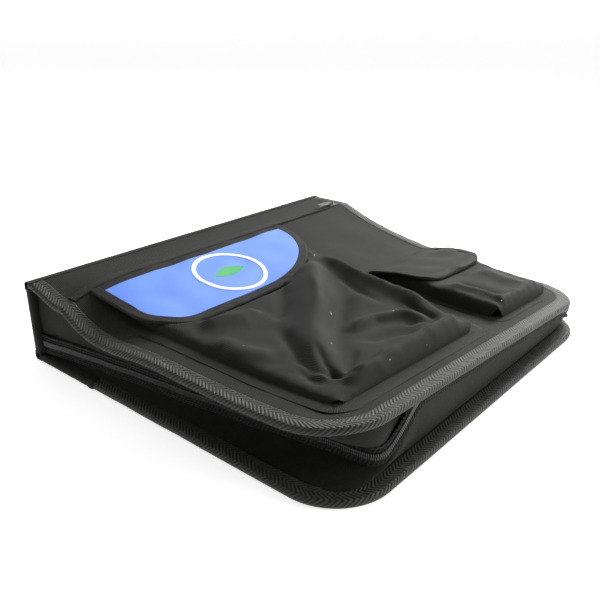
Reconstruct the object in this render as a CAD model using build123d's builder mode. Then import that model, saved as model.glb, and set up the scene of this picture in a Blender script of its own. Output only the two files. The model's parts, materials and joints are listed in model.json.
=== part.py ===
"""Soft portfolio case: two padded covers and a rigid spine folded like a book.

The case lies closed on its back cover. X runs along the spine, the spine is on
the +Y side, Z is up. The origin is on the table, under the middle of the covers.
"""

import os
from math import exp

from build123d import *

os.makedirs("parts", exist_ok=True)

# ---------------------------------------------------------------- overall sizes
case_length = 357.0  # along the spine
case_width = 321.0  # spine's outer face to the back cover's fore edge
case_height = 67.5  # the closed spine
corner_radius = 44.0  # fore corners of both covers
front_setback = 4.0  # the front cover stops short of the back one

# ---------------------------------------------------------------- cloth and board
skin_thickness = 1.2
lining_thickness = 1.2
back_board_thickness = 3.0
front_board_thickness = 2.0
panel_thickness = 1.0  # front panel of the zip pocket
tape_thickness = 0.6  # binding tape
tape_width = 12.5  # binding tape seen on each face
bare_edge = 78.0  # back cover's edge left unbound next to the spine
fold_gap = 0.3  # between a fold and the panels that turn on it
gusset_gap = 0.6  # between the gussets and the spine

# ---------------------------------------------------------------- sag of the front cover
shelf_width = 50.0  # level strip next to the spine
near_drop = 20.0  # how far the cover sags at the near end
near_reach = 30.0  # how quickly it sags there
near_curl = 9.0  # how far the near fore corner turns up again
curl_start = 215.0
far_drop = 39.5
far_reach = 88.0
sag_stations = 9  # points along each end profile

# ---------------------------------------------------------------- main zip and gussets
zip_height_spine = 15.0
zip_height_fore = 19.0
zip_inset_near_spine = 6.0
zip_inset_near_fore = 46.0  # the near gusset folds well inwards at the fore corner
zip_inset_far = 12.0
zip_inset_fore = 13.0
zip_corner_radius = 14.0
wall_foot_inset = 13.0
wall_thickness = 1.0
head_height_spine = 66.0  # the upper gusset is made to here and trimmed by the cover
head_height_fore = 54.0
zip_tape_height = 4.0
zip_tape_thickness = 0.8
coil_height = 1.4
coil_thickness = 1.8
coil_gap = 1.0  # between the two halves, where the slider's post runs
zip_stop_length = 3.0

# ---------------------------------------------------------------- zip sliders and pulls
plate_thickness = 0.8
plate_length = 11.0
plate_clearance = 0.3
pull_width = 5.0
pull_thickness = 1.0
pull_length = 22.0
pull_eye = 1.5  # radius of the hole at the pull's end
pull_pin_radius = 0.9
pull_barrel_wall = 0.8
pull_grip_length = 15.0
main_slider_distance = 30.0  # from the spine's outer face
pocket_slider_distance = 1.0  # from the zip's closed end
pocket_zip_distance = 45.0  # from the spine's outer face
pocket_slot_clearance = 0.6  # between the slider and the cloth beside the zip
pocket_zip_margin = 1.0  # between its ends and the binding tape

# ---------------------------------------------------------------- pockets on the front cover
large_pocket_start = 29.0  # from the near end
large_pocket_width = 209.0
large_pocket_mouth = 80.0  # from the spine's outer face
pocket_foot_margin = 35.0  # from both pockets' feet to the back cover's fore edge
large_depths = (2.5, 3.5, 9.0, 15.0, 15.0, 7.0)  # from the mouth to the foot
small_pocket_margin = 12.0  # from the far end
small_pocket_width = 98.0
small_pocket_mouth = 168.0
small_depths = (4.0, 9.0, 14.0, 15.0, 8.0)
pocket_cloth = 1.2
pocket_radius = 14.0
flange_width = 9.0
flange_thickness = 0.8
hem_width = 12.0
hem_thickness = 0.8

# ---------------------------------------------------------------- flaps
label_flap_start = 27.0
label_flap_width = 216.0
label_flap_foot = 136.0  # from the spine's outer face
label_flap_radius = 40.0
small_flap_overhang = 2.0  # past each side of the small pocket
small_flap_hinge = 158.0
small_flap_foot = 215.0
small_flap_radius = 22.0
flap_lining = 0.8
flap_panel = 0.8
flap_tape_width = 8.0
flap_tape_thickness = 0.5
flap_clearance = 1.0
label_flap_crown = 1.0  # how far the flap bulges over the straight line to its foot
small_flap_crown = 7.0
hinge_lift = 0.5
hook_width = 15.0
hook_length = 40.0
hook_margin = 10.0  # from the flap's foot
hook_thickness = 0.8
emblem_thickness = 0.3
emblem_line = 3.0
leaf_fullness = 1.4  # radius of the leaf's sides over half its length

# ---------------------------------------------------------------- inner pocket and handle
inner_pocket_margin = 22.0
inner_pocket_mouth = 105.0  # from the spine's outer face
inner_pocket_thickness = 1.0
inner_tape_width = 10.0
handle_width = 25.0
handle_thickness = 3.0
handle_span = 150.0
handle_foot = 26.0
handle_reach = 24.0  # how far the loop stands off the spine
handle_bend = 12.0
patch_thickness = 0.8
patch_margin = 3.0
patch_setback = 2.0  # the patch stops short of the loop's bend

# ---------------------------------------------------------------- derived places
end_x = case_length / 2
spine_face = case_width / 2
back_thickness = skin_thickness + back_board_thickness + lining_thickness
front_layers = (lining_thickness, front_board_thickness, skin_thickness, panel_thickness)
front_thickness = sum(front_layers)
board_low = lining_thickness
skin_low = board_low + front_board_thickness
panel_low = skin_low + skin_thickness
fold_radius = back_thickness / 2
hinge_y = spine_face - fold_radius
cover_edge_y = hinge_y - fold_radius - fold_gap
spine_inner_y = spine_face - back_thickness
gusset_end_y = spine_inner_y - gusset_gap
upper_fold_z = case_height - front_thickness / 2
shelf_z = case_height - front_thickness
zip_half = coil_gap / 2 + coil_height + zip_tape_height
slack = 2.0  # how far a cutting shape runs past what it cuts
tall = 3 * case_height
plate_half_width = coil_gap / 2 + coil_thickness + plate_clearance
slider_half_width = plate_half_width + plate_thickness
pocket_slot_half = slider_half_width + pocket_slot_clearance
pocket_foot = case_width - pocket_foot_margin
small_pocket_start = case_length - small_pocket_margin - small_pocket_width
small_flap_start = small_pocket_start - small_flap_overhang
small_flap_width = small_pocket_width + 2 * small_flap_overhang


def x_at(distance):
    """X of a point this far from the near end."""
    return distance - end_x


def y_at(distance):
    """Y of a point this far from the spine's outer face."""
    return spine_face - distance


def underside(distance, drop, reach, curl):
    """Height of the front cover's underside at a distance from the spine's face."""
    fall = max(0.0, distance - shelf_width)
    turn = max(0.0, distance - curl_start) / (case_width - curl_start)
    return shelf_z - drop * (1 - exp(-fall / reach)) + curl * turn**2


def near_underside(distance):
    return underside(distance, near_drop, near_reach, near_curl)


def far_underside(distance):
    return underside(distance, far_drop, far_reach, 0.0)


def end_profile(low, high):
    """Closed profile between two lists of (distance from the spine, height)."""
    with BuildSketch() as profile:
        with BuildLine():
            below = Spline(*[(y_at(d), z) for d, z in low])
            above = Spline(*[(y_at(d), z) for d, z in high])
            Line(below @ 0, above @ 0)
            Line(below @ 1, above @ 1)
        make_face()
    return profile.sketch


def long_space(near_low, near_high, far_low, far_high):
    """Solid over the whole length between the profiles of the two ends."""
    near_face = Plane.YZ.offset(-end_x) * end_profile(near_low, near_high)
    far_face = Plane.YZ.offset(end_x) * end_profile(far_low, far_high)
    return loft([near_face, far_face], ruled=True, mode=Mode.PRIVATE)


def raised(height_at, stations_and_rises):
    """Turn (distance, rise over the underside) into (distance, height)."""
    return [(d, height_at(d) + rise) for d, rise in stations_and_rises]


def cover_space(low, high):
    """Solid over the whole length between two lists of (distance, rise)."""
    return long_space(
        raised(near_underside, low), raised(near_underside, high),
        raised(far_underside, low), raised(far_underside, high),
    )


def stations(start, stop, rise, count=sag_stations):
    """Evenly spaced stations that keep one rise over the underside."""
    step = (stop - start) / (count - 1)
    return [(start + i * step, rise) for i in range(count)]


def cover_layer(low, high):
    """Solid of the whole front cover between two rises over its underside."""
    shelf_y = y_at(shelf_width)
    sag = cover_space(
        stations(shelf_width, case_width, low), stations(shelf_width, case_width, high)
    )
    shelf = plan_box(-end_x, end_x, shelf_y, spine_face, shelf_z + low, shelf_z + high)
    return shelf + sag


def cover_outline(fore_y, inset=0.0, reach=0.0):
    """Plan of a cover: square at the spine, rounded at the fore corners."""
    half = end_x - inset
    low_y = fore_y + inset
    high_y = cover_edge_y + reach
    with BuildSketch() as outline:
        with Locations((0, (low_y + high_y) / 2)):
            Rectangle(2 * half, high_y - low_y)
        fillet(outline.vertices().group_by(Axis.Y)[0], corner_radius - inset)
    return outline.sketch


def prism(sketch, low=-slack, high=tall):
    """Upright solid of a plan sketch, made for cutting and trimming."""
    return extrude(Pos(0, 0, low) * sketch, high - low, mode=Mode.PRIVATE)


def plan_box(x_low, x_high, y_low, y_high, z_low=-slack, z_high=tall):
    """Upright box given by its limits."""
    size = (x_high - x_low, y_high - y_low, z_high - z_low)
    centre = ((x_low + x_high) / 2, (y_low + y_high) / 2, (z_low + z_high) / 2)
    return Pos(*centre) * Box(*size, mode=Mode.PRIVATE)


def shaped(start, keep=(), cut=()):
    """Piece made from one solid, kept inside some solids and cut by others."""
    with BuildPart() as piece:
        add(start)
        for solid in keep:
            add(solid, mode=Mode.INTERSECT)
        for solid in cut:
            add(solid, mode=Mode.SUBTRACT)
    return piece.part


def write(piece, name):
    """Label a finished piece and write its file."""
    piece.label = name
    export_step(piece, f"parts/{name}.step")


# ================================================================ back cover
back_fore_y = -spine_face
back_plan = cover_outline(back_fore_y)
back_plan_inside = cover_outline(back_fore_y, tape_thickness, slack)
back_plan_field = cover_outline(back_fore_y, tape_width, slack)

back_core = prism(back_plan_inside, tape_thickness, back_thickness - tape_thickness)
back_bare = plan_box(-end_x - slack, end_x + slack, y_at(bare_edge), spine_face + slack)
back_binding = shaped(
    prism(back_plan, 0, back_thickness), cut=(prism(back_plan_field), back_core, back_bare)
)
write(back_binding, "back_binding")

back_layers = (
    ("back_skin", skin_thickness),
    ("back_board", back_board_thickness),
    ("back_lining", lining_thickness),
)
layer_low = 0.0
for layer_name, layer_thickness in back_layers:
    layer_space = prism(back_plan, layer_low, layer_low + layer_thickness)
    write(shaped(layer_space, cut=(back_binding,)), layer_name)
    layer_low += layer_thickness

# slip pocket on the lining, open towards the spine
pocket_low_y = back_fore_y + wall_foot_inset + inner_pocket_margin
pocket_high_y = y_at(inner_pocket_mouth)
pocket_half = end_x - wall_foot_inset - inner_pocket_margin
with BuildPart() as inner_pocket:
    with BuildSketch(Plane.XY.offset(back_thickness)) as inner_pocket_plan:
        with Locations((0, (pocket_low_y + pocket_high_y) / 2)):
            Rectangle(2 * pocket_half, pocket_high_y - pocket_low_y)
        fillet(inner_pocket_plan.vertices().group_by(Axis.Y)[0], corner_radius / 2)
    extrude(amount=inner_pocket_thickness)
write(inner_pocket.part, "inner_slip_pocket")

mouth_low = pocket_high_y - inner_tape_width
mouth_high = pocket_high_y + tape_thickness
inner_tape_top = back_thickness + inner_pocket_thickness + tape_thickness
inner_tape_space = plan_box(
    -pocket_half, pocket_half, mouth_low, mouth_high, back_thickness, inner_tape_top
)
write(shaped(inner_tape_space, cut=(inner_pocket.part,)), "inner_pocket_binding")

# ================================================================ front cover
front_fore_y = -spine_face + front_setback
front_plan = cover_outline(front_fore_y)
front_plan_inside = cover_outline(front_fore_y, tape_thickness, slack)
front_plan_field = cover_outline(front_fore_y, tape_width, slack)

front_core = shaped(
    cover_layer(tape_thickness, front_thickness - tape_thickness), keep=(prism(front_plan_inside),)
)
front_binding = shaped(
    cover_layer(0, front_thickness),
    keep=(prism(front_plan),),
    cut=(prism(front_plan_field), front_core),
)
write(front_binding, "front_binding")

# the zip slot splits the outer cloth into a yoke at the spine and the pocket panel
slot_high_y = y_at(pocket_zip_distance - pocket_slot_half)
slot_low_y = y_at(pocket_zip_distance + pocket_slot_half)
slot_half = end_x - tape_width - pocket_zip_margin
zip_slot = plan_box(-slot_half, slot_half, slot_low_y, slot_high_y)


def front_layer(low, thickness, keep=(), cut=()):
    """One layer of the front cover, fitted into its binding."""
    space = cover_layer(low, low + thickness)
    return shaped(space, (prism(front_plan), *keep), (front_binding, *cut))


zip_line_y = y_at(pocket_zip_distance)
yoke_side = plan_box(-end_x - slack, end_x + slack, zip_line_y, spine_face)
panel_side = plan_box(-end_x - slack, end_x + slack, back_fore_y - slack, zip_line_y)
write(front_layer(0, lining_thickness), "front_lining")
write(front_layer(board_low, front_board_thickness), "front_board")
write(front_layer(skin_low, skin_thickness, cut=(zip_slot,)), "front_skin")
write(front_layer(panel_low, panel_thickness, (yoke_side,), (zip_slot,)), "front_yoke")
write(front_layer(panel_low, panel_thickness, (panel_side,), (zip_slot,)), "zip_pocket_panel")

# ================================================================ spine and its folds
spine_low = fold_radius * 2 + fold_gap
spine_high = shelf_z - fold_gap
spine_mid_z = (spine_low + spine_high) / 2
board_y = spine_inner_y + lining_thickness
skin_y = board_y + back_board_thickness
board_half = end_x - skin_thickness

spine_board = plan_box(-board_half, board_half, board_y, skin_y, spine_low, spine_high)
spine_lining = plan_box(-board_half, board_half, spine_inner_y, board_y, spine_low, spine_high)
spine_shell = plan_box(-end_x, end_x, spine_inner_y, spine_face, spine_low, spine_high)
spine_hollow = plan_box(-board_half, board_half, spine_inner_y - slack, skin_y)
write(shaped(spine_board), "spine_board")
write(shaped(spine_lining), "spine_lining")
write(shaped(spine_shell, cut=(spine_hollow,)), "spine_skin")

for fold_name, fold_z in (("lower_fold", fold_radius), ("upper_fold", upper_fold_z)):
    with BuildPart() as fold:
        with BuildSketch(Plane.YZ.offset(-end_x)):
            with Locations((hinge_y, fold_z)):
                Circle(fold_radius)
                Circle(fold_radius - skin_thickness, mode=Mode.SUBTRACT)
        extrude(amount=case_length)
    write(fold.part, fold_name)

# webbing handle sewn to the spine
handle_start = handle_span / 2
patch_face = spine_face + patch_thickness
with BuildPart() as handle:
    with BuildSketch(Plane.XY.offset(spine_mid_z - handle_width / 2)):
        with BuildLine():
            FilletPolyline(
                (-handle_start, patch_face),
                (-handle_start + handle_foot, patch_face),
                (-handle_start + handle_foot + handle_bend, spine_face + handle_reach),
                (handle_start - handle_foot - handle_bend, spine_face + handle_reach),
                (handle_start - handle_foot, patch_face),
                (handle_start, patch_face),
                radius=handle_bend / 2,
            )
            offset(amount=handle_thickness, side=Side.LEFT)
        make_face()
    extrude(amount=handle_width)
write(handle.part, "handle_webbing")

with BuildPart() as handle_patches:
    patch_length = handle_foot + patch_margin - patch_setback
    for side in (-1, 1):
        patch_centre = side * (handle_start + patch_margin - patch_length / 2)
        with BuildSketch(Plane.XZ.offset(-spine_face)):
            with Locations((patch_centre, spine_mid_z)):
                Rectangle(patch_length, handle_width + 2 * patch_margin)
        extrude(amount=-patch_thickness)
write(handle_patches.part, "handle_patches")

# ================================================================ gussets and main zip
zip_slope = (zip_height_fore - zip_height_spine) / case_width
zip_plane = Plane(
    origin=(0, 0, (zip_height_spine + zip_height_fore) / 2),
    x_dir=(1, 0, 0),
    z_dir=(0, zip_slope, 1),
)


def ring_plan(near_spine, near_fore, far, fore, radius, shrink=0.0):
    """Plan of a gusset's ring, run past the spine, with a small inward shrink."""
    left_spine = -end_x + near_spine + shrink
    left_fore = -end_x + near_fore + shrink
    right = end_x - far - shrink
    low_y = -spine_face + fore + shrink
    high_y = spine_face + slack
    with BuildSketch() as plan:
        with BuildLine():
            Polyline(
                (left_spine, high_y),
                (left_fore, low_y),
                (right, low_y),
                (right, high_y),
                close=True,
            )
        make_face()
        fillet(plan.vertices().group_by(Axis.Y)[0], radius - shrink)
    return plan.sketch


def foot_plan(shrink):
    return ring_plan(
        zip_inset_near_spine, wall_foot_inset, wall_foot_inset, wall_foot_inset,
        corner_radius - wall_foot_inset, shrink,
    )


def zip_plan(shrink):
    return ring_plan(
        zip_inset_near_spine, zip_inset_near_fore, zip_inset_far, zip_inset_fore,
        zip_corner_radius, shrink,
    )


def head_plan(shrink):
    return ring_plan(
        zip_inset_near_spine, wall_foot_inset, wall_foot_inset,
        wall_foot_inset + front_setback, corner_radius - wall_foot_inset, shrink,
    )


inside_case = plan_box(-end_x, end_x, back_fore_y, gusset_end_y)


def zip_band(low, high, thickness):
    """Ring that follows the zip between two heights over its middle plane."""
    outer = extrude(zip_plane.offset(low) * zip_plan(0), high - low, mode=Mode.PRIVATE)
    inner = extrude(zip_plane.offset(low) * zip_plan(thickness), high - low, mode=Mode.PRIVATE)
    return shaped(outer, keep=(inside_case,), cut=(inner,))


def wall(low_face_at, high_face_at):
    """Sloping wall between two ring plans, each given as a function of its shrink."""
    outer = loft([low_face_at(0), high_face_at(0)], ruled=True, mode=Mode.PRIVATE)
    inner_faces = [low_face_at(wall_thickness), high_face_at(wall_thickness)]
    inner = loft(inner_faces, ruled=True, mode=Mode.PRIVATE)
    return shaped(outer, keep=(inside_case,), cut=(inner,))


coil_low = coil_gap / 2
coil_high = coil_low + coil_height
write(zip_band(-coil_high, -coil_low, coil_thickness), "lower_zip_coil")
write(zip_band(coil_low, coil_high, coil_thickness), "upper_zip_coil")
write(zip_band(-zip_half, -coil_high, zip_tape_thickness), "lower_zip_tape")
write(zip_band(coil_high, zip_half, zip_tape_thickness), "upper_zip_tape")

lower_wall = wall(
    lambda shrink: Plane.XY.offset(back_thickness) * foot_plan(shrink),
    lambda shrink: zip_plane.offset(-zip_half) * zip_plan(shrink),
)
write(lower_wall, "lower_gusset")

head_slope = (head_height_fore - head_height_spine) / case_width
head_plane = Plane(
    origin=(0, 0, (head_height_fore + head_height_spine) / 2),
    x_dir=(1, 0, 0),
    z_dir=(0, head_slope, 1),
)
upper_wall = wall(
    lambda shrink: zip_plane.offset(zip_half) * zip_plan(shrink),
    lambda shrink: head_plane * head_plan(shrink),
)
write(shaped(upper_wall, keep=(cover_layer(-tall, 0),)), "upper_gusset")

# ================================================================ zip of the front pocket
pocket_coil_low = panel_low + zip_tape_thickness
pocket_coil_high = pocket_coil_low + coil_height


def joined(name, *solids):
    """Node of several separate solids of one kind."""
    with BuildPart() as group:
        for solid in solids:
            add(solid)
    write(group.part, name)


def zip_strip(x_half, y_near, y_far, low, high):
    """Strip along the pocket zip, between two distances from its middle line."""
    y_low = zip_line_y + min(y_near, y_far)
    y_high = zip_line_y + max(y_near, y_far)
    return plan_box(-x_half, x_half, y_low, y_high, shelf_z + low, shelf_z + high)


coil_half = slot_half - zip_stop_length
tape_from = coil_gap / 2
tape_to = pocket_slot_half
coil_to = tape_from + coil_thickness
joined("pocket_zip_tapes", *[
    zip_strip(slot_half, side * tape_from, side * tape_to, panel_low, pocket_coil_low)
    for side in (-1, 1)
])
joined("pocket_zip_coils", *[
    zip_strip(coil_half, side * tape_from, side * coil_to, pocket_coil_low, pocket_coil_high)
    for side in (-1, 1)
])
joined("pocket_zip_stops", *[
    plan_box(
        min(side * coil_half, side * slot_half), max(side * coil_half, side * slot_half),
        zip_line_y - coil_to, zip_line_y + coil_to,
        shelf_z + pocket_coil_low, shelf_z + pocket_coil_high,
    )
    for side in (-1, 1)
])

# ================================================================ sliders and pulls
pin_height = pull_eye + pull_barrel_wall + plate_clearance


def slider_body(frame, stack):
    """Two plates around a zip of this thickness, with a post and a pull's pin.

    The frame's X points where the slider opens, its Z at the pull's side.
    """
    gap = stack / 2 + plate_clearance
    width = 2 * slider_half_width
    with BuildPart(frame) as body:
        for side in (-1, 1):
            with Locations((0, 0, side * (gap + plate_thickness / 2))):
                Box(plate_length, width, plate_thickness)
        with Locations((plate_length / 4, 0, 0)):
            Box(plate_length / 4, coil_gap - 2 * plate_clearance, 2 * gap)
        top = gap + plate_thickness
        lug_y = pull_width / 2 + plate_clearance - plate_thickness / 2
        for side in (-1, 1):
            with Locations((0, side * lug_y, top + (pin_height + pull_pin_radius) / 2)):
                Box(2 * pull_pin_radius, plate_thickness, pin_height + pull_pin_radius)
        with Locations((0, 0, top + pin_height)):
            Cylinder(pull_pin_radius, 2 * lug_y, rotation=(90, 0, 0))
    return body.part


def pull_body(frame, stack):
    """Flat pull with a barrel round the slider's pin, lying along the frame's X."""
    pin_z = stack / 2 + plate_clearance + plate_thickness + pin_height
    barrel_width = pull_width - 2 * plate_thickness
    with BuildPart(frame) as body:
        with Locations((0, 0, pin_z)):
            Cylinder(pull_eye + pull_barrel_wall, barrel_width, rotation=(90, 0, 0))
        with Locations((pull_length / 2, 0, pin_z)):
            Box(pull_length, barrel_width, pull_thickness)
        with Locations((pull_length - pull_grip_length / 2, 0, pin_z)):
            Box(pull_grip_length, pull_width, pull_thickness)
        with Locations((0, 0, pin_z)):
            Cylinder(pull_eye, 2 * pull_width, rotation=(90, 0, 0), mode=Mode.SUBTRACT)
    return body.part


pocket_stack = zip_tape_thickness + coil_height
pocket_slider_x = slot_half - zip_stop_length - plate_length / 2 - pocket_slider_distance
pocket_zip_frame = Plane(
    origin=(pocket_slider_x, zip_line_y, shelf_z + panel_low + pocket_stack / 2),
    x_dir=(-1, 0, 0),
    z_dir=(0, 0, 1),
)
write(slider_body(pocket_zip_frame, pocket_stack), "pocket_zip_slider")
write(pull_body(pocket_zip_frame, pocket_stack), "pocket_zip_pull")

main_slider_y = y_at(main_slider_distance)
main_slider_z = (zip_height_spine + zip_height_fore) / 2 - zip_slope * main_slider_y
main_zip_frame = Plane(
    origin=(end_x - zip_inset_far - coil_thickness / 2, main_slider_y, main_slider_z),
    x_dir=(0, -1, zip_slope),
    z_dir=(1, 0, 0),
)
write(slider_body(main_zip_frame, coil_thickness), "main_zip_slider")
write(pull_body(main_zip_frame, coil_thickness), "main_zip_pull")

# ================================================================ pockets
front_cover = cover_layer(0, front_thickness)


def plan_patch(start, width, near, far, radius=0.0, inset=0.0):
    """Plan of a patch given from the near end and the spine, rounded at its foot."""
    x_low = x_at(start) + inset
    x_high = x_at(start + width) - inset
    y_low = y_at(far) + inset
    y_high = y_at(near)
    with BuildSketch() as patch:
        with Locations(((x_low + x_high) / 2, (y_low + y_high) / 2)):
            Rectangle(x_high - x_low, y_high - y_low)
        if radius > 0:
            fillet(patch.vertices().group_by(Axis.Y)[0], radius)
    return patch.sketch


def depth_stations(mouth, foot, depths, lift=0.0):
    """Stations of a pocket's front, evenly spaced from its mouth to its foot."""
    step = (foot - mouth) / (len(depths) - 1)
    return [(mouth + i * step, front_thickness + d + lift) for i, d in enumerate(depths)]


def pocket_parts(name, start, width, mouth, foot, depths):
    """Bag open at its mouth, its sewn flange, and the hem along the mouth."""
    below = stations(mouth - slack, foot, front_thickness - slack)
    front = depth_stations(mouth, foot, depths)
    front_inside = depth_stations(mouth - slack, foot, depths, -pocket_cloth)
    hem_top = depth_stations(mouth, foot, depths, hem_thickness)
    bag_plan = plan_patch(start, width, mouth, foot, pocket_radius, flange_width)
    inside_plan = plan_patch(
        start, width, mouth - slack, foot, pocket_radius, flange_width + pocket_cloth
    )
    inside = shaped(cover_space(below, front_inside), keep=(prism(inside_plan),))
    bag = shaped(
        cover_space(below, front), keep=(prism(bag_plan),), cut=(inside, front_cover)
    )
    write(bag, name)
    flange_space = cover_layer(front_thickness, front_thickness + flange_thickness)
    sewn_plan = plan_patch(start, width, mouth, foot, pocket_radius + flange_width / 2)
    flange = shaped(flange_space, keep=(prism(sewn_plan),), cut=(prism(bag_plan),))
    write(flange, f"{name}_flange")
    mouth_space = prism(plan_patch(start, width, mouth, mouth + hem_width))
    hem = shaped(cover_space(front, hem_top), keep=(prism(bag_plan), mouth_space))
    write(hem, f"{name}_hem")


pocket_parts(
    "large_pocket", large_pocket_start, large_pocket_width, large_pocket_mouth,
    pocket_foot, large_depths,
)
pocket_parts(
    "small_pocket", small_pocket_start, small_pocket_width, small_pocket_mouth,
    pocket_foot, small_depths,
)

# ================================================================ flaps
def depth_at(distance, mouth, foot, depths):
    """Depth of a pocket at a distance from the spine, between its stations."""
    place = (distance - mouth) / (foot - mouth) * (len(depths) - 1)
    index = min(int(place), len(depths) - 2)
    return depths[index] + (depths[index + 1] - depths[index]) * (place - index)


def flap_heights(height_at, hinge, foot, foot_rise, crown, lift, count=5):
    """Profile of a flap's underside at one end, as (distance, height)."""
    high = height_at(hinge) + front_thickness + hinge_lift
    low = height_at(foot) + foot_rise
    points = []
    for i in range(count):
        share = i / (count - 1)
        bulge = crown * 4 * share * (1 - share)
        height = high + (low - high) * share + bulge + lift
        points.append((hinge + (foot - hinge) * share, height))
    return points


def flap_space(hinge, foot, foot_rise, crown, low, high):
    """Solid over the whole length between two heights over a flap's underside."""
    faces = []
    for height_at in (near_underside, far_underside):
        for lift in (low, high):
            faces.append(flap_heights(height_at, hinge, foot, foot_rise, crown, lift))
    return long_space(*faces)


def flap_parts(name, start, width, hinge, foot, radius, crown, foot_rise, patch_starts):
    """Lining, panel and binding of a flap, and the hook patches under it."""
    plan = plan_patch(start, width, hinge, foot, radius)
    field = plan_patch(
        start, width, hinge - slack, foot, radius - flap_tape_width, flap_tape_width
    )
    core_plan = plan_patch(
        start, width, hinge - slack, foot, radius - flap_tape_thickness, flap_tape_thickness
    )
    thickness = flap_lining + flap_panel

    def space(low, high):
        return flap_space(hinge, foot, foot_rise, crown, low, high)

    core = shaped(
        space(flap_tape_thickness, thickness - flap_tape_thickness), keep=(prism(core_plan),)
    )
    binding = shaped(space(0, thickness), keep=(prism(plan),), cut=(prism(field), core))
    write(binding, f"{name}_binding")
    layers = (("lining", 0, flap_lining), ("panel", flap_lining, thickness))
    for layer_name, low, high in layers:
        layer = shaped(space(low, high), keep=(prism(plan),), cut=(binding,))
        write(layer, f"{name}_{layer_name}")
    joined(f"{name}_hook_patches", *[
        shaped(space(-hook_thickness, 0), keep=(prism(hook_plan(patch_start, foot)),))
        for patch_start in patch_starts
    ])


def hook_plan(patch_start, foot):
    """Plan of one hook or loop patch under a flap."""
    far = foot - hook_margin
    return plan_patch(patch_start, hook_length, far - hook_width, far)


def loop_patches(name, mouth, foot, depths, flap_foot, patch_starts):
    """Loop patches on a pocket's front, under the hook patches of its flap."""
    front = depth_stations(mouth, foot, depths)
    top = depth_stations(mouth, foot, depths, hook_thickness)
    joined(name, *[
        shaped(cover_space(front, top), keep=(prism(hook_plan(patch_start, flap_foot)),))
        for patch_start in patch_starts
    ])


def patch_places(start, width, count):
    """Starts of evenly spread patches under a flap of this width."""
    pitch = width / count
    return [start + pitch * (i + 0.5) - hook_length / 2 for i in range(count)]


flap_stack = 2 * hook_thickness + flap_clearance
label_patches = patch_places(label_flap_start, label_flap_width, 2)
label_foot_rise = front_thickness + flap_stack + depth_at(
    label_flap_foot, large_pocket_mouth, pocket_foot, large_depths
)
flap_parts(
    "label_flap", label_flap_start, label_flap_width, shelf_width, label_flap_foot,
    label_flap_radius, label_flap_crown, label_foot_rise, label_patches,
)
loop_patches(
    "large_pocket_loop_patches", large_pocket_mouth, pocket_foot, large_depths,
    label_flap_foot, label_patches,
)

small_patches = patch_places(small_flap_start, small_flap_width, 1)
small_foot_rise = front_thickness + flap_stack + depth_at(
    small_flap_foot, small_pocket_mouth, pocket_foot, small_depths
)
flap_parts(
    "small_flap", small_flap_start, small_flap_width, small_flap_hinge, small_flap_foot,
    small_flap_radius, small_flap_crown, small_foot_rise, small_patches,
)
loop_patches(
    "small_pocket_loop_patch", small_pocket_mouth, pocket_foot, small_depths,
    small_flap_foot, small_patches,
)

# badge printed on the label flap: a ring round a plain leaf
emblem_x = x_at(label_flap_start + label_flap_width / 2)
emblem_y = y_at((shelf_width + label_flap_foot) / 2)
emblem_radius = (label_flap_foot - shelf_width) / 2 - flap_tape_width - emblem_line
with BuildSketch() as ring:
    with Locations((emblem_x, emblem_y)):
        Circle(emblem_radius)
        Circle(emblem_radius - emblem_line, mode=Mode.SUBTRACT)
leaf_half = emblem_radius / 2
with BuildSketch() as leaf:
    with BuildLine():
        tips = ((emblem_x - leaf_half, emblem_y), (emblem_x + leaf_half, emblem_y))
        RadiusArc(*tips, leaf_half * leaf_fullness)
        RadiusArc(*tips, -leaf_half * leaf_fullness)
    make_face()
flap_top = flap_lining + flap_panel
emblem_space = flap_space(
    shelf_width, label_flap_foot, label_foot_rise, label_flap_crown,
    flap_top, flap_top + emblem_thickness,
)
for emblem_name, emblem_plan in (("emblem_ring", ring), ("emblem_leaf", leaf)):
    write(shaped(emblem_space, keep=(prism(emblem_plan.sketch),)), emblem_name)
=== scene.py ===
"""Looks of a soft portfolio case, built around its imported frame.

Two board covers and a spine fold like a book, two cloth gussets close them with
a zip, two pockets with flaps sit on the sagging front cover, and a webbing handle
is sewn to the spine. Lengths are in metres in the frame's own axes: X along the
spine, the spine on the +Y side, Z up. "Near" is the -X end and "fore" the -Y edge.
"""

import json
import logging
import random
from dataclasses import dataclass
from enum import Enum
from math import atan2, cos, pi, radians, sin, sqrt, tan, tau
from typing import Callable, Sequence

import bmesh
import bpy
import numpy as np
from mathutils import Matrix, Vector

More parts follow.
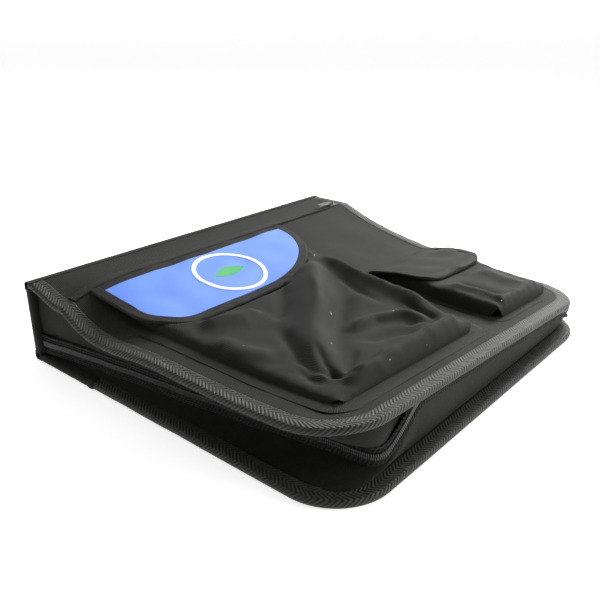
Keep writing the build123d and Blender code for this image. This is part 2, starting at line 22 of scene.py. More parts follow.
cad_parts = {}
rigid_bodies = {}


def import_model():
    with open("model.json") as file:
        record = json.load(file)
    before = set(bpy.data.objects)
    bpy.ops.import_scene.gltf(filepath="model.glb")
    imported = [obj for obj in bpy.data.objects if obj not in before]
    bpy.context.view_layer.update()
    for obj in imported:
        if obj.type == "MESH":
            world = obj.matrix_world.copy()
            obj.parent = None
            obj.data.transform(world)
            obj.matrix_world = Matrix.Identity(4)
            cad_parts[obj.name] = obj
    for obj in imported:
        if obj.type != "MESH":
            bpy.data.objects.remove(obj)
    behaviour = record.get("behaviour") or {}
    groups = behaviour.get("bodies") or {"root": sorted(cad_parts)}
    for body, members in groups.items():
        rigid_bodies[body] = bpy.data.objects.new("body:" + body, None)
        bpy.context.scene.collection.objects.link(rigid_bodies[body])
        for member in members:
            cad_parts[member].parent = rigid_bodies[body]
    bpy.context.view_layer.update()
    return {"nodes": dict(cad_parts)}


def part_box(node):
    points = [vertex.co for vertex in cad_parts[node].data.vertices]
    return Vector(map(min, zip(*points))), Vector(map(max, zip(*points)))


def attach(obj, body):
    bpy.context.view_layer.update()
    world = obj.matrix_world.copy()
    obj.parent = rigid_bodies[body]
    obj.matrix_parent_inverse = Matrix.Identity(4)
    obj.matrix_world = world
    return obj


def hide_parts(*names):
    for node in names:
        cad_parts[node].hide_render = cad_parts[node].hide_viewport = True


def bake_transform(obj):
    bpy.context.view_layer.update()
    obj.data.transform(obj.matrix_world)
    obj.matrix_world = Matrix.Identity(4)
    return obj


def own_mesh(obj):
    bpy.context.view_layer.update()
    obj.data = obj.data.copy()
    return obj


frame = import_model()

log = logging.getLogger("portfolio_case")

MM = 0.001
RIPPLE_WAVES = 11
LINT_COLOUR = (0.62, 0.61, 0.56, 1.0)
ENDS = (("near", -1), ("far", 1))
BINDING_STITCHES = (3.4 * MM, 2.2 * MM)
POCKET_STITCHES = (3.0 * MM, 2.1 * MM)
Points = np.ndarray
Colour = tuple[float, float, float, float]


class Body(Enum):
    """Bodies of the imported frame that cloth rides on."""

    BACK = "back_cover"
    SPINE = "spine"
    FRONT = "front_cover"
    LABEL_FLAP = "label_flap"
    SMALL_FLAP = "small_flap"


class Hold(Enum):
    """How a sheet of cloth is held."""

    LAID = "laid"
    STRETCHED = "stretched"
    FOLDED = "folded"
    GATHERED = "gathered"
    HUNG = "hung"


# ---------------------------------------------------------------- points and lines
def lift(plan: Points, height: Points | float) -> Points:
    """Adds a height to points in plan.

    Args:
        plan: points with X and Y last.
        height: one height, or one for each point.

    Returns:
        Points with X, Y and Z last.
    """
    level = np.broadcast_to(np.asarray(height, float), plan.shape[:-1])
    return np.concatenate([plan, level[..., None]], axis=-1)


def split(plan: Points) -> tuple[Points, Points]:
    """X and Y of points in plan."""
    return plan[..., 0], plan[..., 1]


def crossed(xs: Points, ys: Points) -> Points:
    """Grid in plan, with one row for each Y."""
    return np.stack(np.meshgrid(xs, ys), axis=-1)


def run_length(route: Points) -> Points:
    """Distance along a line of points, from its first point."""
    steps = np.linalg.norm(np.diff(route, axis=0), axis=1)
    return np.concatenate([[0.0], np.cumsum(steps)])


def resample(route: Points, spacing: float) -> Points:
    """Even points along a line.

    Args:
        route: points of the line.
        spacing: distance wanted between neighbours.

    Returns:
        Points at even distances, the ends included.
    """
    far = run_length(route)
    count = max(2, int(round(far[-1] / spacing)) + 1)
    places = np.linspace(0.0, far[-1], count)
    return np.stack([np.interp(places, far, route[:, k]) for k in range(route.shape[1])], axis=1)


def rounded_route(corners: Sequence[tuple[float, float]], radii: float | Sequence[float],
                  counts: Sequence[int]) -> Points:
    """Open line in plan with its inner corners rounded.

    Args:
        corners: corners from one end to the other.
        radii: radius of every inner corner, or one for each.
        counts: points on each straight and each arc in turn, starting with a straight.

    Returns:
        Points in plan. Routes with the same counts match point by point.
    """
    spots = [np.array(c, float) for c in corners]
    runs: list[Points] = []
    start = spots[0]
    each = np.broadcast_to(radii, len(spots) - 2)
    for before, corner, after, radius in zip(spots, spots[1:], spots[2:], each):
        back = (before - corner) / np.linalg.norm(before - corner)
        ahead = (after - corner) / np.linalg.norm(after - corner)
        half = np.arccos(np.clip(back @ ahead, -1, 1)) / 2
        reach = radius / tan(half)
        first, last = corner + back * reach, corner + ahead * reach
        middle = corner + (back + ahead) / np.linalg.norm(back + ahead) * radius / sin(half)
        runs.append(straight(start, first, counts[len(runs)]))
        a0 = atan2(*(first - middle)[::-1])
        a1 = atan2(*(last - middle)[::-1])
        turn = (a1 - a0 + pi) % tau - pi
        angles = a0 + turn * np.linspace(0, 1, counts[len(runs)] + 2)[1:-1]
        runs.append(middle + radius * np.stack([np.cos(angles), np.sin(angles)], axis=1))
        start = last
    runs.append(straight(start, spots[-1], counts[len(runs)]))
    return np.concatenate(runs)


def straight(start: Points, stop: Points, count: int) -> Points:
    """Even points from one place to another."""
    return start + (stop - start) * np.linspace(0, 1, count)[:, None]


def outward(route: Points) -> Points:
    """Unit vectors square to a line in plan, to the right of its direction."""
    run = np.gradient(route, axis=0)
    run /= np.linalg.norm(run, axis=1)[:, None]
    return np.stack([run[:, 1], -run[:, 0]], axis=1)


def ripple(a: Points, b: Points | float, size: float, seed: int) -> Points:
    """Smooth unevenness of cloth, from waves in seeded directions.

    Args:
        a: first coordinate of each point.
        b: second coordinate of each point.
        size: usual distance between crests.
        seed: picks one pattern.

    Returns:
        Values mostly between -1 and 1.
    """
    chance = random.Random(seed)
    total = np.zeros(np.broadcast(a, b).shape)
    for _ in range(RIPPLE_WAVES):
        angle, phase = chance.uniform(0, tau), chance.uniform(0, tau)
        pace = tau / size * chance.uniform(0.6, 1.5)
        total += np.sin(pace * (a * cos(angle) + b * sin(angle)) + phase)
    return total / sqrt(RIPPLE_WAVES)


def smooth(low: float, high: float, value: Points) -> Points:
    """Smooth step from 0 at low to 1 at high."""
    share = np.clip((value - low) / (high - low), 0, 1)
    return share * share * (3 - 2 * share)


def crest(x: Points, y: Points, route: Sequence[tuple[float, float]], width: float,
          rise: float, lean: float = 0.0, fade: float = 0.25) -> Points:
    """Height that a fold adds along a line.

    Args:
        x: X of each point.
        y: Y of each point.
        route: points of the fold's line in plan.
        width: half the fold's width.
        rise: height of the fold, negative for a crease.
        lean: from -1 to 1, makes the left or the right side steeper.
        fade: share of the line over which it fades at each end.

    Returns:
        Height to add at each point.
    """
    nearest = np.full(x.shape, 1e9)
    side = np.zeros(x.shape)
    place = np.zeros(x.shape)
    line = np.array(route, float)
    far = run_length(line)
    for start, stop, before in zip(line, line[1:], far):
        run = stop - start
        size = np.linalg.norm(run)
        share = np.clip(((x - start[0]) * run[0] + (y - start[1]) * run[1]) / size**2, 0, 1)
        dx, dy = x - start[0] - share * run[0], y - start[1] - share * run[1]
        distance = np.hypot(dx, dy)
        closer = distance < nearest
        nearest = np.where(closer, distance, nearest)
        side = np.where(closer, np.sign(run[0] * dy - run[1] * dx), side)
        place = np.where(closer, (before + share * size) / far[-1], place)
    spread = width * (1 + lean * side)
    ends = smooth(0, fade, place) * (1 - smooth(1 - fade, 1, place)) if fade > 0 else 1.0
    return rise * np.exp(-((nearest / spread) ** 2)) * ends


# ---------------------------------------------------------------- making meshes
def deselect() -> None:
    """Leaves no object selected and none active."""
    for item in bpy.context.scene.objects:
        item.select_set(False)
    bpy.context.view_layer.objects.active = None


def activate(obj: bpy.types.Object) -> None:
    """Makes one object the only selected one."""
    deselect()
    obj.select_set(True)
    bpy.context.view_layer.objects.active = obj


def mesh_piece(name: str, places: Points, faces: Sequence[Sequence[int]],
               unfolded: Points | None = None) -> bpy.types.Object:
    """Makes an object from points and faces.

    Args:
        name: name of the piece.
        places: points of the mesh.
        faces: point numbers of each face.
        unfolded: place of each point on the flat cloth, in metres, for its UV map.

    Returns:
        The new object, at the origin.
    """
    mesh = bpy.data.meshes.new(name)
    mesh.from_pydata(places.tolist(), [], [list(f) for f in faces])
    if unfolded is not None:
        layer = mesh.uv_layers.new(name="UVMap")
        order = np.empty(len(mesh.loops), np.int64)
        mesh.loops.foreach_get("vertex_index", order)
        layer.data.foreach_set("uv", unfolded[order].astype(np.float32).ravel())
    mesh.update()
    obj = bpy.data.objects.new(name, mesh)
    bpy.context.scene.collection.objects.link(obj)
    return obj


def unfold(grid: Points) -> Points:
    """Flat place of each point of a grid of cloth, from its mean row and column."""
    across = np.linalg.norm(np.diff(grid, axis=1), axis=2).mean(axis=0)
    along = np.linalg.norm(np.diff(grid, axis=0), axis=2).mean(axis=1)
    u = np.concatenate([[0.0], np.cumsum(across)])
    v = np.concatenate([[0.0], np.cumsum(along)])
    return np.stack(np.meshgrid(u, v), axis=-1)


def cloth(name: str, grid: Points, thickness: float, flat: Points | None = None,
          flip: bool = False, offset: float = -1.0) -> bpy.types.Object:
    """Makes a piece of cloth from a grid of points on its outer face.

    Args:
        name: name of the piece.
        grid: rows of points; from above, rows run from the spine and columns along X.
        thickness: thickness of the cloth.
        flat: place of each point on the flat cloth, worked out when left out.
        flip: turns the faces the other way.
        offset: -1 puts the thickness behind the given face and 0 half to each side.

    Returns:
        The piece, with its thickness applied.
    """
    rows, columns = grid.shape[:2]
    number = np.arange(rows * columns).reshape(rows, columns)
    corners = [number[:-1, :-1], number[1:, :-1], number[1:, 1:], number[:-1, 1:]]
    if flip:
        corners.reverse()
    faces = np.stack(corners, axis=-1).reshape(-1, 4)
    unfolded = unfold(grid) if flat is None else flat
    obj = mesh_piece(name, grid.reshape(-1, 3), faces, unfolded.reshape(-1, 2))
    apply_modifier(obj, "SOLIDIFY", thickness=thickness, offset=offset)
    smooth_by_angle(obj, 50)
    return obj


def apply_modifier(obj: bpy.types.Object, kind: str, **settings: object) -> None:
    """Adds a modifier with these settings and applies it."""
    activate(obj)
    modifier = obj.modifiers.new(kind.title(), kind)
    for name, value in settings.items():
        setattr(modifier, name, value)
    bpy.ops.object.modifier_apply(modifier=modifier.name)


def smooth_by_angle(obj: bpy.types.Object, degrees: float) -> None:
    """Shades a piece smooth except at edges sharper than an angle."""
    activate(obj)
    bpy.ops.object.shade_smooth_by_angle(angle=radians(degrees))


def settle(obj: bpy.types.Object, body: Body, finish: bpy.types.Material,
           nodes: Sequence[str] = ()) -> bpy.types.Object:
    """Dresses a finished piece and puts it on its body.

    Args:
        obj: the piece, with its mesh final.
        body: the body that it moves with.
        finish: its material.
        nodes: CAD nodes that it stands for.

    Returns:
        The same piece.
    """
    obj.data.materials.clear()
    obj.data.materials.append(finish)
    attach(obj, body.value)
    if nodes:
        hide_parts(*nodes)
    log.info("%s on %s: %d faces", obj.name, body.value, len(obj.data.polygons))
    return obj


def copies(name: str, template: bpy.types.Object, places: Points,
           axes: Points) -> bpy.types.Object:
    """One mesh of many copies of a small shape.

    Args:
        name: name of the new piece.
        template: the shape, modelled at the origin along X with Z up.
        places: where each copy goes.
        axes: for each copy, its X, Y and Z axes as rows, as long as the copy is scaled.

    Returns:
        The new piece.
    """
    mesh = template.data
    shape = np.empty(len(mesh.vertices) * 3)
    mesh.vertices.foreach_get("co", shape)
    shape = shape.reshape(-1, 3)
    faces = [list(p.vertices) for p in mesh.polygons]
    spread = np.einsum("vk,nkj->nvj", shape, axes) + places[:, None, :]
    every = [[v + n * len(shape) for v in f] for n in range(len(places)) for f in faces]
    obj = mesh_piece(name, spread.reshape(-1, 3), every)
    smooth_by_angle(obj, 60)
    return obj


# ---------------------------------------------------------------- shared effects
class Wiring:
    """Adds and joins the nodes of one shader tree or node group."""

    def __init__(self, tree: bpy.types.NodeTree) -> None:
        """Takes the tree that nodes are added to."""
        self.tree = tree

    def add(self, kind: str, **values: object) -> bpy.types.Node:
        """Adds a node.

        Args:
            kind: the node's type name.
            values: settings of the node, or values and links of its inputs.

        Returns:
            The new node.
        """
        node = self.tree.nodes.new(kind)
        for name, value in values.items():
            if hasattr(node, name):
                setattr(node, name, value)
            else:
                self.feed(node, name.replace("_", " "), value)
        return node

    def feed(self, node: bpy.types.Node, name: str | int, value: object) -> None:
        """Sets an input, or links it where the value is a socket."""
        socket = node.inputs[name]
        if isinstance(value, bpy.types.NodeSocket):
            self.tree.links.new(value, socket)
        else:
            socket.default_value = value

    def give(self, node: bpy.types.Node, **values: object) -> None:
        """Sets or links several inputs, with their names' spaces as underscores."""
        for name, value in values.items():
            self.feed(node, name.replace("_", " "), value)

    def bump(self, height: object, distance: float, **more: object) -> bpy.types.NodeSocket:
        """Adds a Bump node at full strength unless told otherwise, and gives its normal."""
        values = {"Strength": 1.0, "Distance": distance, "Height": height, **more}
        return self.add("ShaderNodeBump", **values).outputs[0]

    def math(self, operation: str, *values: object) -> bpy.types.NodeSocket:
        """Adds a Math node and gives its result."""
        node = self.tree.nodes.new("ShaderNodeMath")
        node.operation = operation
        for place, value in enumerate(values):
            self.feed(node, place, value)
        return node.outputs[0]

    def wave(self, value: object, pitch: object) -> bpy.types.NodeSocket:
        """A wave from 0 to 1 along a value, with this distance between crests."""
        turn = self.math("DIVIDE", value, pitch)
        swing = self.math("SINE", self.math("MULTIPLY", turn, tau))
        return self.math("MULTIPLY_ADD", swing, 0.5, 0.5)

    def noise(self, place: object, size: object, detail: float = 2.0) -> bpy.types.NodeSocket:
        """Noise with features about this far apart."""
        scale = self.math("DIVIDE", 1.0, size)
        node = self.add("ShaderNodeTexNoise", Vector=place, Scale=scale, Detail=detail)
        return node.outputs["Fac"]

    def blend(self, share: object, first: object, second: object) -> bpy.types.NodeSocket:
        """Mixes two colours and gives the result."""
        node = self.tree.nodes.new("ShaderNodeMix")
        node.data_type = "RGBA"
        for place, value in ((0, share), (6, first), (7, second)):
            self.feed(node, place, value)
        return node.outputs[2]


class Effects:
    """Node groups that several finishes share, each built once."""

    def __init__(self) -> None:
        """Builds every group."""
        self.weave = self._weave()
        self.herringbone = self._herringbone()
        self.handling = self._handling()
        self.lint = self._lint()

    def _group(self, name: str, inputs: dict[str, float | None],
               outputs: Sequence[str]) -> tuple[Wiring, bpy.types.Node, bpy.types.Node]:
        """Makes an empty group.

        Args:
            name: name of the group.
            inputs: default value of each input, or None for a vector.
            outputs: names of its outputs.

        Returns:
            Its wiring, its input node and its output node.
        """
        tree = bpy.data.node_groups.new(name, "ShaderNodeTree")
        for label, value in inputs.items():
            kind = "NodeSocketVector" if value is None else "NodeSocketFloat"
            socket = tree.interface.new_socket(label, in_out="INPUT", socket_type=kind)
            if value is not None:
                socket.default_value = value
        for label in outputs:
            tree.interface.new_socket(label, in_out="OUTPUT", socket_type="NodeSocketFloat")
        wiring = Wiring(tree)
        return wiring, wiring.add("NodeGroupInput"), wiring.add("NodeGroupOutput")

    def _weave(self) -> bpy.types.NodeTree:
        """Ribs along the cloth, crossed by finer threads."""
        inputs = {"Place": None, "Rib": 0.0011, "Thread": 0.0007, "Slant": 0.0}
        wiring, given, made = self._group("Weave", inputs, ("Height", "Shade"))
        split = wiring.add("ShaderNodeSeparateXYZ", Vector=given.outputs["Place"])
        slanted = wiring.math("MULTIPLY_ADD", split.outputs[1], given.outputs["Slant"],
                              split.outputs[0])
        ribs = wiring.wave(slanted, given.outputs["Rib"])
        threads = wiring.wave(split.outputs[1], given.outputs["Thread"])
        uneven = wiring.noise(given.outputs["Place"],
                              wiring.math("MULTIPLY", given.outputs["Rib"], 3.0))
        height = wiring.math("MULTIPLY_ADD", threads, 0.45, wiring.math("MULTIPLY", ribs, 0.55))
        shade = wiring.math("MULTIPLY", height, wiring.math("ADD", uneven, 0.5))
        wiring.give(made, Height=height, Shade=shade)
        return wiring.tree

    def _herringbone(self) -> bpy.types.NodeTree:
        """Slanted ribs that turn back at each column of a woven tape."""
        inputs = {"Place": None, "Pitch": 0.0032, "Column": 0.0055, "Rake": 1.2}
        wiring, given, made = self._group("Herringbone", inputs, ("Height", "Shade"))
        split = wiring.add("ShaderNodeSeparateXYZ", Vector=given.outputs["Place"])
        fold = wiring.math("PINGPONG", split.outputs[1], given.outputs["Column"])
        slanted = wiring.math("MULTIPLY_ADD", fold, given.outputs["Rake"], split.outputs[0])
        ribs = wiring.wave(slanted, given.outputs["Pitch"])
        fine = wiring.wave(split.outputs[1], wiring.math("MULTIPLY", given.outputs["Pitch"], 0.3))
        uneven = wiring.noise(given.outputs["Place"], given.outputs["Pitch"])
        height = wiring.math("MULTIPLY_ADD", fine, 0.18, wiring.math("MULTIPLY", ribs, 0.82))
        shade = wiring.math("MULTIPLY", height, wiring.math("ADD", uneven, 0.5))
        wiring.give(made, Height=height, Shade=shade)
        return wiring.tree

    def _handling(self) -> bpy.types.NodeTree:
        """Soft unevenness that cloth gets from being handled."""
        inputs = {"Place": None, "Size": 0.03}
        wiring, given, made = self._group("Handling", inputs, ("Height", "Shade"))
        broad = wiring.noise(given.outputs["Place"], given.outputs["Size"], 3.0)
        close = wiring.noise(given.outputs["Place"],
                             wiring.math("MULTIPLY", given.outputs["Size"], 0.22), 2.0)
        height = wiring.math("MULTIPLY_ADD", close, 0.35, broad)
        shade = wiring.math("MULTIPLY_ADD", broad, 0.9, 0.55)
        wiring.give(made, Height=height, Shade=shade)
        return wiring.tree

    def _lint(self) -> bpy.types.NodeTree:
        """Small pale specks, here and there on the cloth."""
        inputs = {"Place": None, "Spacing": 0.013, "Speck": 0.00055, "Share": 0.5}
        wiring, given, made = self._group("Lint", inputs, ("Mask",))
        cells = wiring.add("ShaderNodeTexVoronoi", Vector=given.outputs["Place"],
                           Scale=wiring.math("DIVIDE", 1.0, given.outputs["Spacing"]))
        split = wiring.add("ShaderNodeSeparateColor", Color=cells.outputs["Color"])
        reach = wiring.math("DIVIDE", given.outputs["Speck"], given.outputs["Spacing"])
        size = wiring.math("MULTIPLY", reach, wiring.math("ADD", split.outputs[1], 0.35))
        near = wiring.math("LESS_THAN", cells.outputs["Distance"], size)
        chosen = wiring.math("LESS_THAN", split.outputs[0], given.outputs["Share"])
        wiring.feed(made, "Mask", wiring.math("MULTIPLY", near, chosen))
        return wiring.tree


# ---------------------------------------------------------------- finishes
def start_material(name: str) -> tuple[bpy.types.Material, Wiring, bpy.types.Node]:
    """Makes a material with its wiring and its Principled shader."""
    material = bpy.data.materials.new(name)
    material.use_nodes = True
    return material, Wiring(material.node_tree), material.node_tree.nodes["Principled BSDF"]


def use_group(wiring: Wiring, group: bpy.types.NodeTree, **values: object) -> bpy.types.Node:
    """Places a shared group in a material with its own values."""
    node = wiring.tree.nodes.new("ShaderNodeGroup")
    node.node_tree = group
    wiring.give(node, **values)
    return node


def grey(level: float, warmth: float = 0.0) -> Colour:
    """A grey with a slight cast, warm above 0 and cool below."""
    return (level * (1 + warmth), level * (1 + 1.8 * warmth), level * (1 - 4 * warmth), 1.0)


@dataclass(frozen=True)
class ClothFinish:
    """Plain or ribbed woven nylon with lint and soft unevenness."""

    name: str
    dark: Colour
    light: Colour
    rib: float = 0.0012
    thread: float = 0.0008
    slant: float = 0.0
    relief: float = 0.0004
    rumple: float = 0.0003
    rumple_size: float = 0.028
    roughness: float = 0.72
    sheen: float = 0.03
    lint: float = 0.4

    def build(self, effects: Effects) -> bpy.types.Material:
        """Builds the material."""
        material, wiring, shader = start_material(self.name)
        place = wiring.add("ShaderNodeUVMap", uv_map="UVMap").outputs["UV"]
        weave = use_group(wiring, effects.weave, Place=place, Rib=self.rib,
                          Thread=self.thread, Slant=self.slant)
        soft = use_group(wiring, effects.handling, Place=place, Size=self.rumple_size)
        specks = use_group(wiring, effects.lint, Place=place, Share=self.lint)
        woven = wiring.blend(weave.outputs["Shade"], self.dark, self.light)
        tone = wiring.add("ShaderNodeHueSaturation", Color=woven,
                          Value=soft.outputs["Shade"]).outputs[0]
        colour = wiring.blend(specks.outputs["Mask"], tone, LINT_COLOUR)
        broad = wiring.bump(soft.outputs["Height"], self.rumple)
        fine = wiring.bump(weave.outputs["Height"], self.relief, Normal=broad)
        wiring.give(shader, Base_Color=colour, Roughness=self.roughness, Normal=fine,
                    Sheen_Weight=self.sheen, Sheen_Roughness=0.45, Specular_IOR_Level=0.12)
        return material


@dataclass(frozen=True)
class TapeFinish:
    """Herringbone binding tape."""

    name: str
    dark: Colour
    light: Colour
    pitch: float = 0.0032
    column: float = 0.0055
    rake: float = 1.1
    relief: float = 0.0005
    roughness: float = 0.6

    def build(self, effects: Effects) -> bpy.types.Material:
        """Builds the material."""
        material, wiring, shader = start_material(self.name)
        place = wiring.add("ShaderNodeUVMap", uv_map="UVMap").outputs["UV"]
        ribs = use_group(wiring, effects.herringbone, Place=place, Pitch=self.pitch,
                         Column=self.column, Rake=self.rake)
        soft = use_group(wiring, effects.handling, Place=place, Size=0.02)
        woven = wiring.blend(ribs.outputs["Shade"], self.dark, self.light)
        tone = wiring.add("ShaderNodeHueSaturation", Color=woven,
                          Value=soft.outputs["Shade"]).outputs[0]
        wiring.give(shader, Base_Color=tone, Roughness=self.roughness, Sheen_Weight=0.04,
                    Specular_IOR_Level=0.2,
                    Normal=wiring.bump(ribs.outputs["Height"], self.relief))
        return material


@dataclass(frozen=True)
class GrainFinish:
    """A coated or moulded surface with fine grain: label, print, nylon, board or fuzz."""

    name: str
    dark: Colour
    light: Colour
    grain: float = 0.0006
    relief: float = 0.00008
    roughness: float = 0.5
    sheen: float = 0.0
    coat: float = 0.0
    specular: float = 0.5
    glow: float = 0.0

    def build(self, effects: Effects) -> bpy.types.Material:
        """Builds the material."""
        material, wiring, shader = start_material(self.name)
        place = wiring.add("ShaderNodeTexCoord").outputs["Object"]
        soft = use_group(wiring, effects.handling, Place=place, Size=0.025)
        grain = wiring.noise(place, self.grain, 3.0)
        mixed = wiring.math("MULTIPLY_ADD", grain, 0.5,
                            wiring.math("MULTIPLY", soft.outputs["Shade"], 0.4))
        rough = wiring.math("MULTIPLY_ADD", grain, 0.2, self.roughness - 0.1)
        wiring.give(shader, Base_Color=wiring.blend(mixed, self.dark, self.light),
                    Roughness=rough, Sheen_Weight=self.sheen, Coat_Weight=self.coat,
                    Specular_IOR_Level=self.specular, Emission_Color=self.light,
                    Emission_Strength=self.glow, Normal=wiring.bump(grain, self.relief))
        return material


@dataclass(frozen=True)
class MetalFinish:
    """Die-cast zip metal, worn bright in places."""

    name: str
    dull: Colour
    bright: Colour
    roughness: float = 0.28

    def build(self, effects: Effects) -> bpy.types.Material:
        """Builds the material."""
        material, wiring, shader = start_material(self.name)
        place = wiring.add("ShaderNodeTexCoord").outputs["Object"]
        worn = use_group(wiring, effects.handling, Place=place, Size=0.004)
        height = worn.outputs["Height"]
        rough = wiring.math("MULTIPLY_ADD", height, 0.25, self.roughness - 0.1)
        wiring.give(shader, Base_Color=wiring.blend(worn.outputs["Shade"], self.dull, self.bright),
                    Roughness=rough, Metallic=1.0,
                    Normal=wiring.bump(height, 0.00005, Strength=0.6))
        return material


class Finishes:
    """Every finish of the case, built once."""

    def __init__(self, effects: Effects) -> None:
        """Builds the materials."""
        cloth_dark, cloth_light = grey(0.0045, 0.01), grey(0.0195, 0.045)
        self.cloth = ClothFinish("Black nylon", cloth_dark, cloth_light).build(effects)
        self.pocket = ClothFinish("Pocket nylon", cloth_dark, grey(0.0215, 0.045), rib=0.0011,
                                  thread=0.0007, rumple=0.0004, rumple_size=0.03,
                                  lint=0.35).build(effects)
        self.gusset = ClothFinish("Gusset nylon", grey(0.004, 0.01), grey(0.018, 0.045),
                                  rumple=0.0005, lint=0.12).build(effects)
        self.lining = ClothFinish("Lining", grey(0.0035, 0.0), grey(0.011, 0.02), rib=0.0009,
                                  thread=0.0006, relief=0.00012, sheen=0.02,
                                  lint=0.12).build(effects)
        self.binding = TapeFinish("Binding tape", grey(0.006, 0.01),
                                  grey(0.046, 0.03)).build(effects)
        self.flap_tape = ClothFinish("Flap tape", grey(0.005, 0.02), grey(0.028, 0.03),
                                     rib=0.0016, thread=0.0009, rumple=0.0006, rumple_size=0.012,
                                     lint=0.0).build(effects)
        self.webbing = TapeFinish("Webbing", grey(0.004, 0.0), grey(0.032, 0.01), pitch=0.0024,
                                  column=0.004, rake=0.55, relief=0.0006).build(effects)
        self.zip_tape = ClothFinish("Zip tape", grey(0.005, 0.01), grey(0.028, 0.01), rib=0.0030,
                                    thread=0.0012, slant=0.4, rumple=0.0004,
                                    lint=0.0).build(effects)
        self.coil = GrainFinish("Zip coil", grey(0.005), grey(0.018), roughness=0.38,
                                specular=0.6).build(effects)
        self.thread = GrainFinish("Sewing thread", grey(0.004), grey(0.012), roughness=0.75,
                                  sheen=0.02).build(effects)
        self.fuzz = GrainFinish("Hook and loop", grey(0.006), grey(0.03), grain=0.0009,
                                relief=0.0008, roughness=0.95, sheen=0.05).build(effects)
        self.label = GrainFinish("Blue label", (0.05, 0.13, 0.56, 1.0), (0.13, 0.26, 0.74, 1.0),
                                 grain=0.0008, relief=0.00006, roughness=0.52,
                                 coat=0.08).build(effects)
        self.white_print = GrainFinish("White print", grey(0.62), grey(0.86), grain=0.0009,
                                       relief=0.00012, roughness=0.6).build(effects)
        self.green_print = GrainFinish("Green print", (0.02, 0.2, 0.05, 1.0),
                                       (0.05, 0.36, 0.1, 1.0), grain=0.0009, relief=0.00012,
                                       roughness=0.6).build(effects)
        self.metal = MetalFinish("Zip metal", grey(0.06), grey(0.2)).build(effects)
        self.board = GrainFinish("Grey board", grey(0.16, 0.05), grey(0.3, 0.06), grain=0.002,
                                 relief=0.0001, roughness=0.9).build(effects)
        self.floor = GrainFinish("Pale floor", grey(0.78), grey(0.8), grain=0.01, relief=0.0,
                                 roughness=0.7, specular=0.1, glow=0.85).build(effects)


# ---------------------------------------------------------------- shape of the case
Height = Callable[[Points, Points], Points]


@dataclass(frozen=True)
class CaseForm:
    """Places read from the frame, and the shape of the sagging front cover."""

    half: float
    spine_face: float
    fore_back: float
    fore_front: float
    height: float
    board: float
    fold_y: float
    corner: float = 44 * MM
    tape: float = 12.5 * MM
    shelf: float = 50 * MM
    near_drop: float = 20 * MM
    near_droop: float = 9.5 * MM
    near_reach: float = 30 * MM
    near_curl: float = 9 * MM
    curl_start: float = 215 * MM
    far_drop: float = 39.5 * MM
    far_reach: float = 88 * MM
    edge_step: float = 2.5 * MM

    @classmethod
    def from_frame(cls) -> "CaseForm":
        """Reads the case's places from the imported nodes."""
        back_low, back_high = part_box("back_binding")
        front_low, front_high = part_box("front_binding")
        return cls(
            half=back_high.x, spine_face=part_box("spine_skin")[1].y, fore_back=back_low.y,
            fore_front=front_low.y, height=front_high.z, board=back_high.z,
            fold_y=front_high.y,
        )

    def x(self, from_near: float) -> float:
        """X of a place given from the near end."""
        return from_near - self.half

    def y(self, from_spine: float) -> float:
        """Y of a place given from the spine's outer face."""
        return self.spine_face - from_spine

    def under(self, x: Points, y: Points) -> Points:
        """Height of the front cover's underside."""
        away = self.spine_face - y
        fall = np.maximum(0.0, away - self.shelf)
        width = self.spine_face - self.fore_back
        turn = np.maximum(0.0, away - self.curl_start) / (width - self.curl_start)
        near = self.near_drop * (1 - np.exp(-fall / self.near_reach)) - self.near_curl * turn**2
        far = self.far_drop * (1 - np.exp(-fall / self.far_reach))
        share = (x + self.half) / (2 * self.half)
        bend = smooth(3 * MM, 44 * MM, away) * (1 - smooth(74 * MM, 160 * MM, away))
        droop = self.near_droop * np.exp(-(((x + self.half) / (30 * MM)) ** 2)) * bend
        return self.height - self.board - near * (1 - share) - far * share - droop

    def top(self, x: Points, y: Points) -> Points:
        """Height of the front cover's outer face."""
        return self.under(x, y) + self.board

    def laid(self, plan: Points, rise: Points | float) -> Points:
        """Points laid over the front cover's outer face at a distance."""
        return lift(plan, self.top(*split(plan)) + rise)

    def plan_rows(self, fore: float, start: float, inset: float, step: float) -> Points:
        """Rows of points over a cover with rounded fore corners.

        Args:
            fore: Y of the cover's fore edge.
            start: Y of the first row, next to the spine.
            inset: distance kept from the cover's outline.
            step: distance between points.

        Returns:
            Grid of points in plan, from the spine to the fore edge.
        """
        radius = self.corner - inset
        turn_y = fore + self.corner
        level = np.linspace(start, turn_y, max(2, int((start - turn_y) / step)))
        angle = np.linspace(0, pi / 2, max(6, int(radius * pi / 2 / step)))[1:]
        ys = np.concatenate([level, turn_y - radius * np.sin(angle)])
        bend = np.concatenate([np.zeros(len(level)), radius * (1 - np.cos(angle))])
        halves = self.half - inset - bend
        across = np.linspace(-1, 1, int(2 * self.half / step))
        xs = halves[:, None] * across
        return np.stack([xs, np.broadcast_to(ys[:, None], xs.shape)], axis=-1)

    def edge_route(self, fore: float, start: float) -> Points:
        """Outline of a cover in plan, from its near end round to its far end."""
        corners = ((-self.half, start), (-self.half, fore), (self.half, fore), (self.half, start))
        route = rounded_route(corners, self.corner, (40, 30, 60, 30, 40))
        return resample(route, self.edge_step)


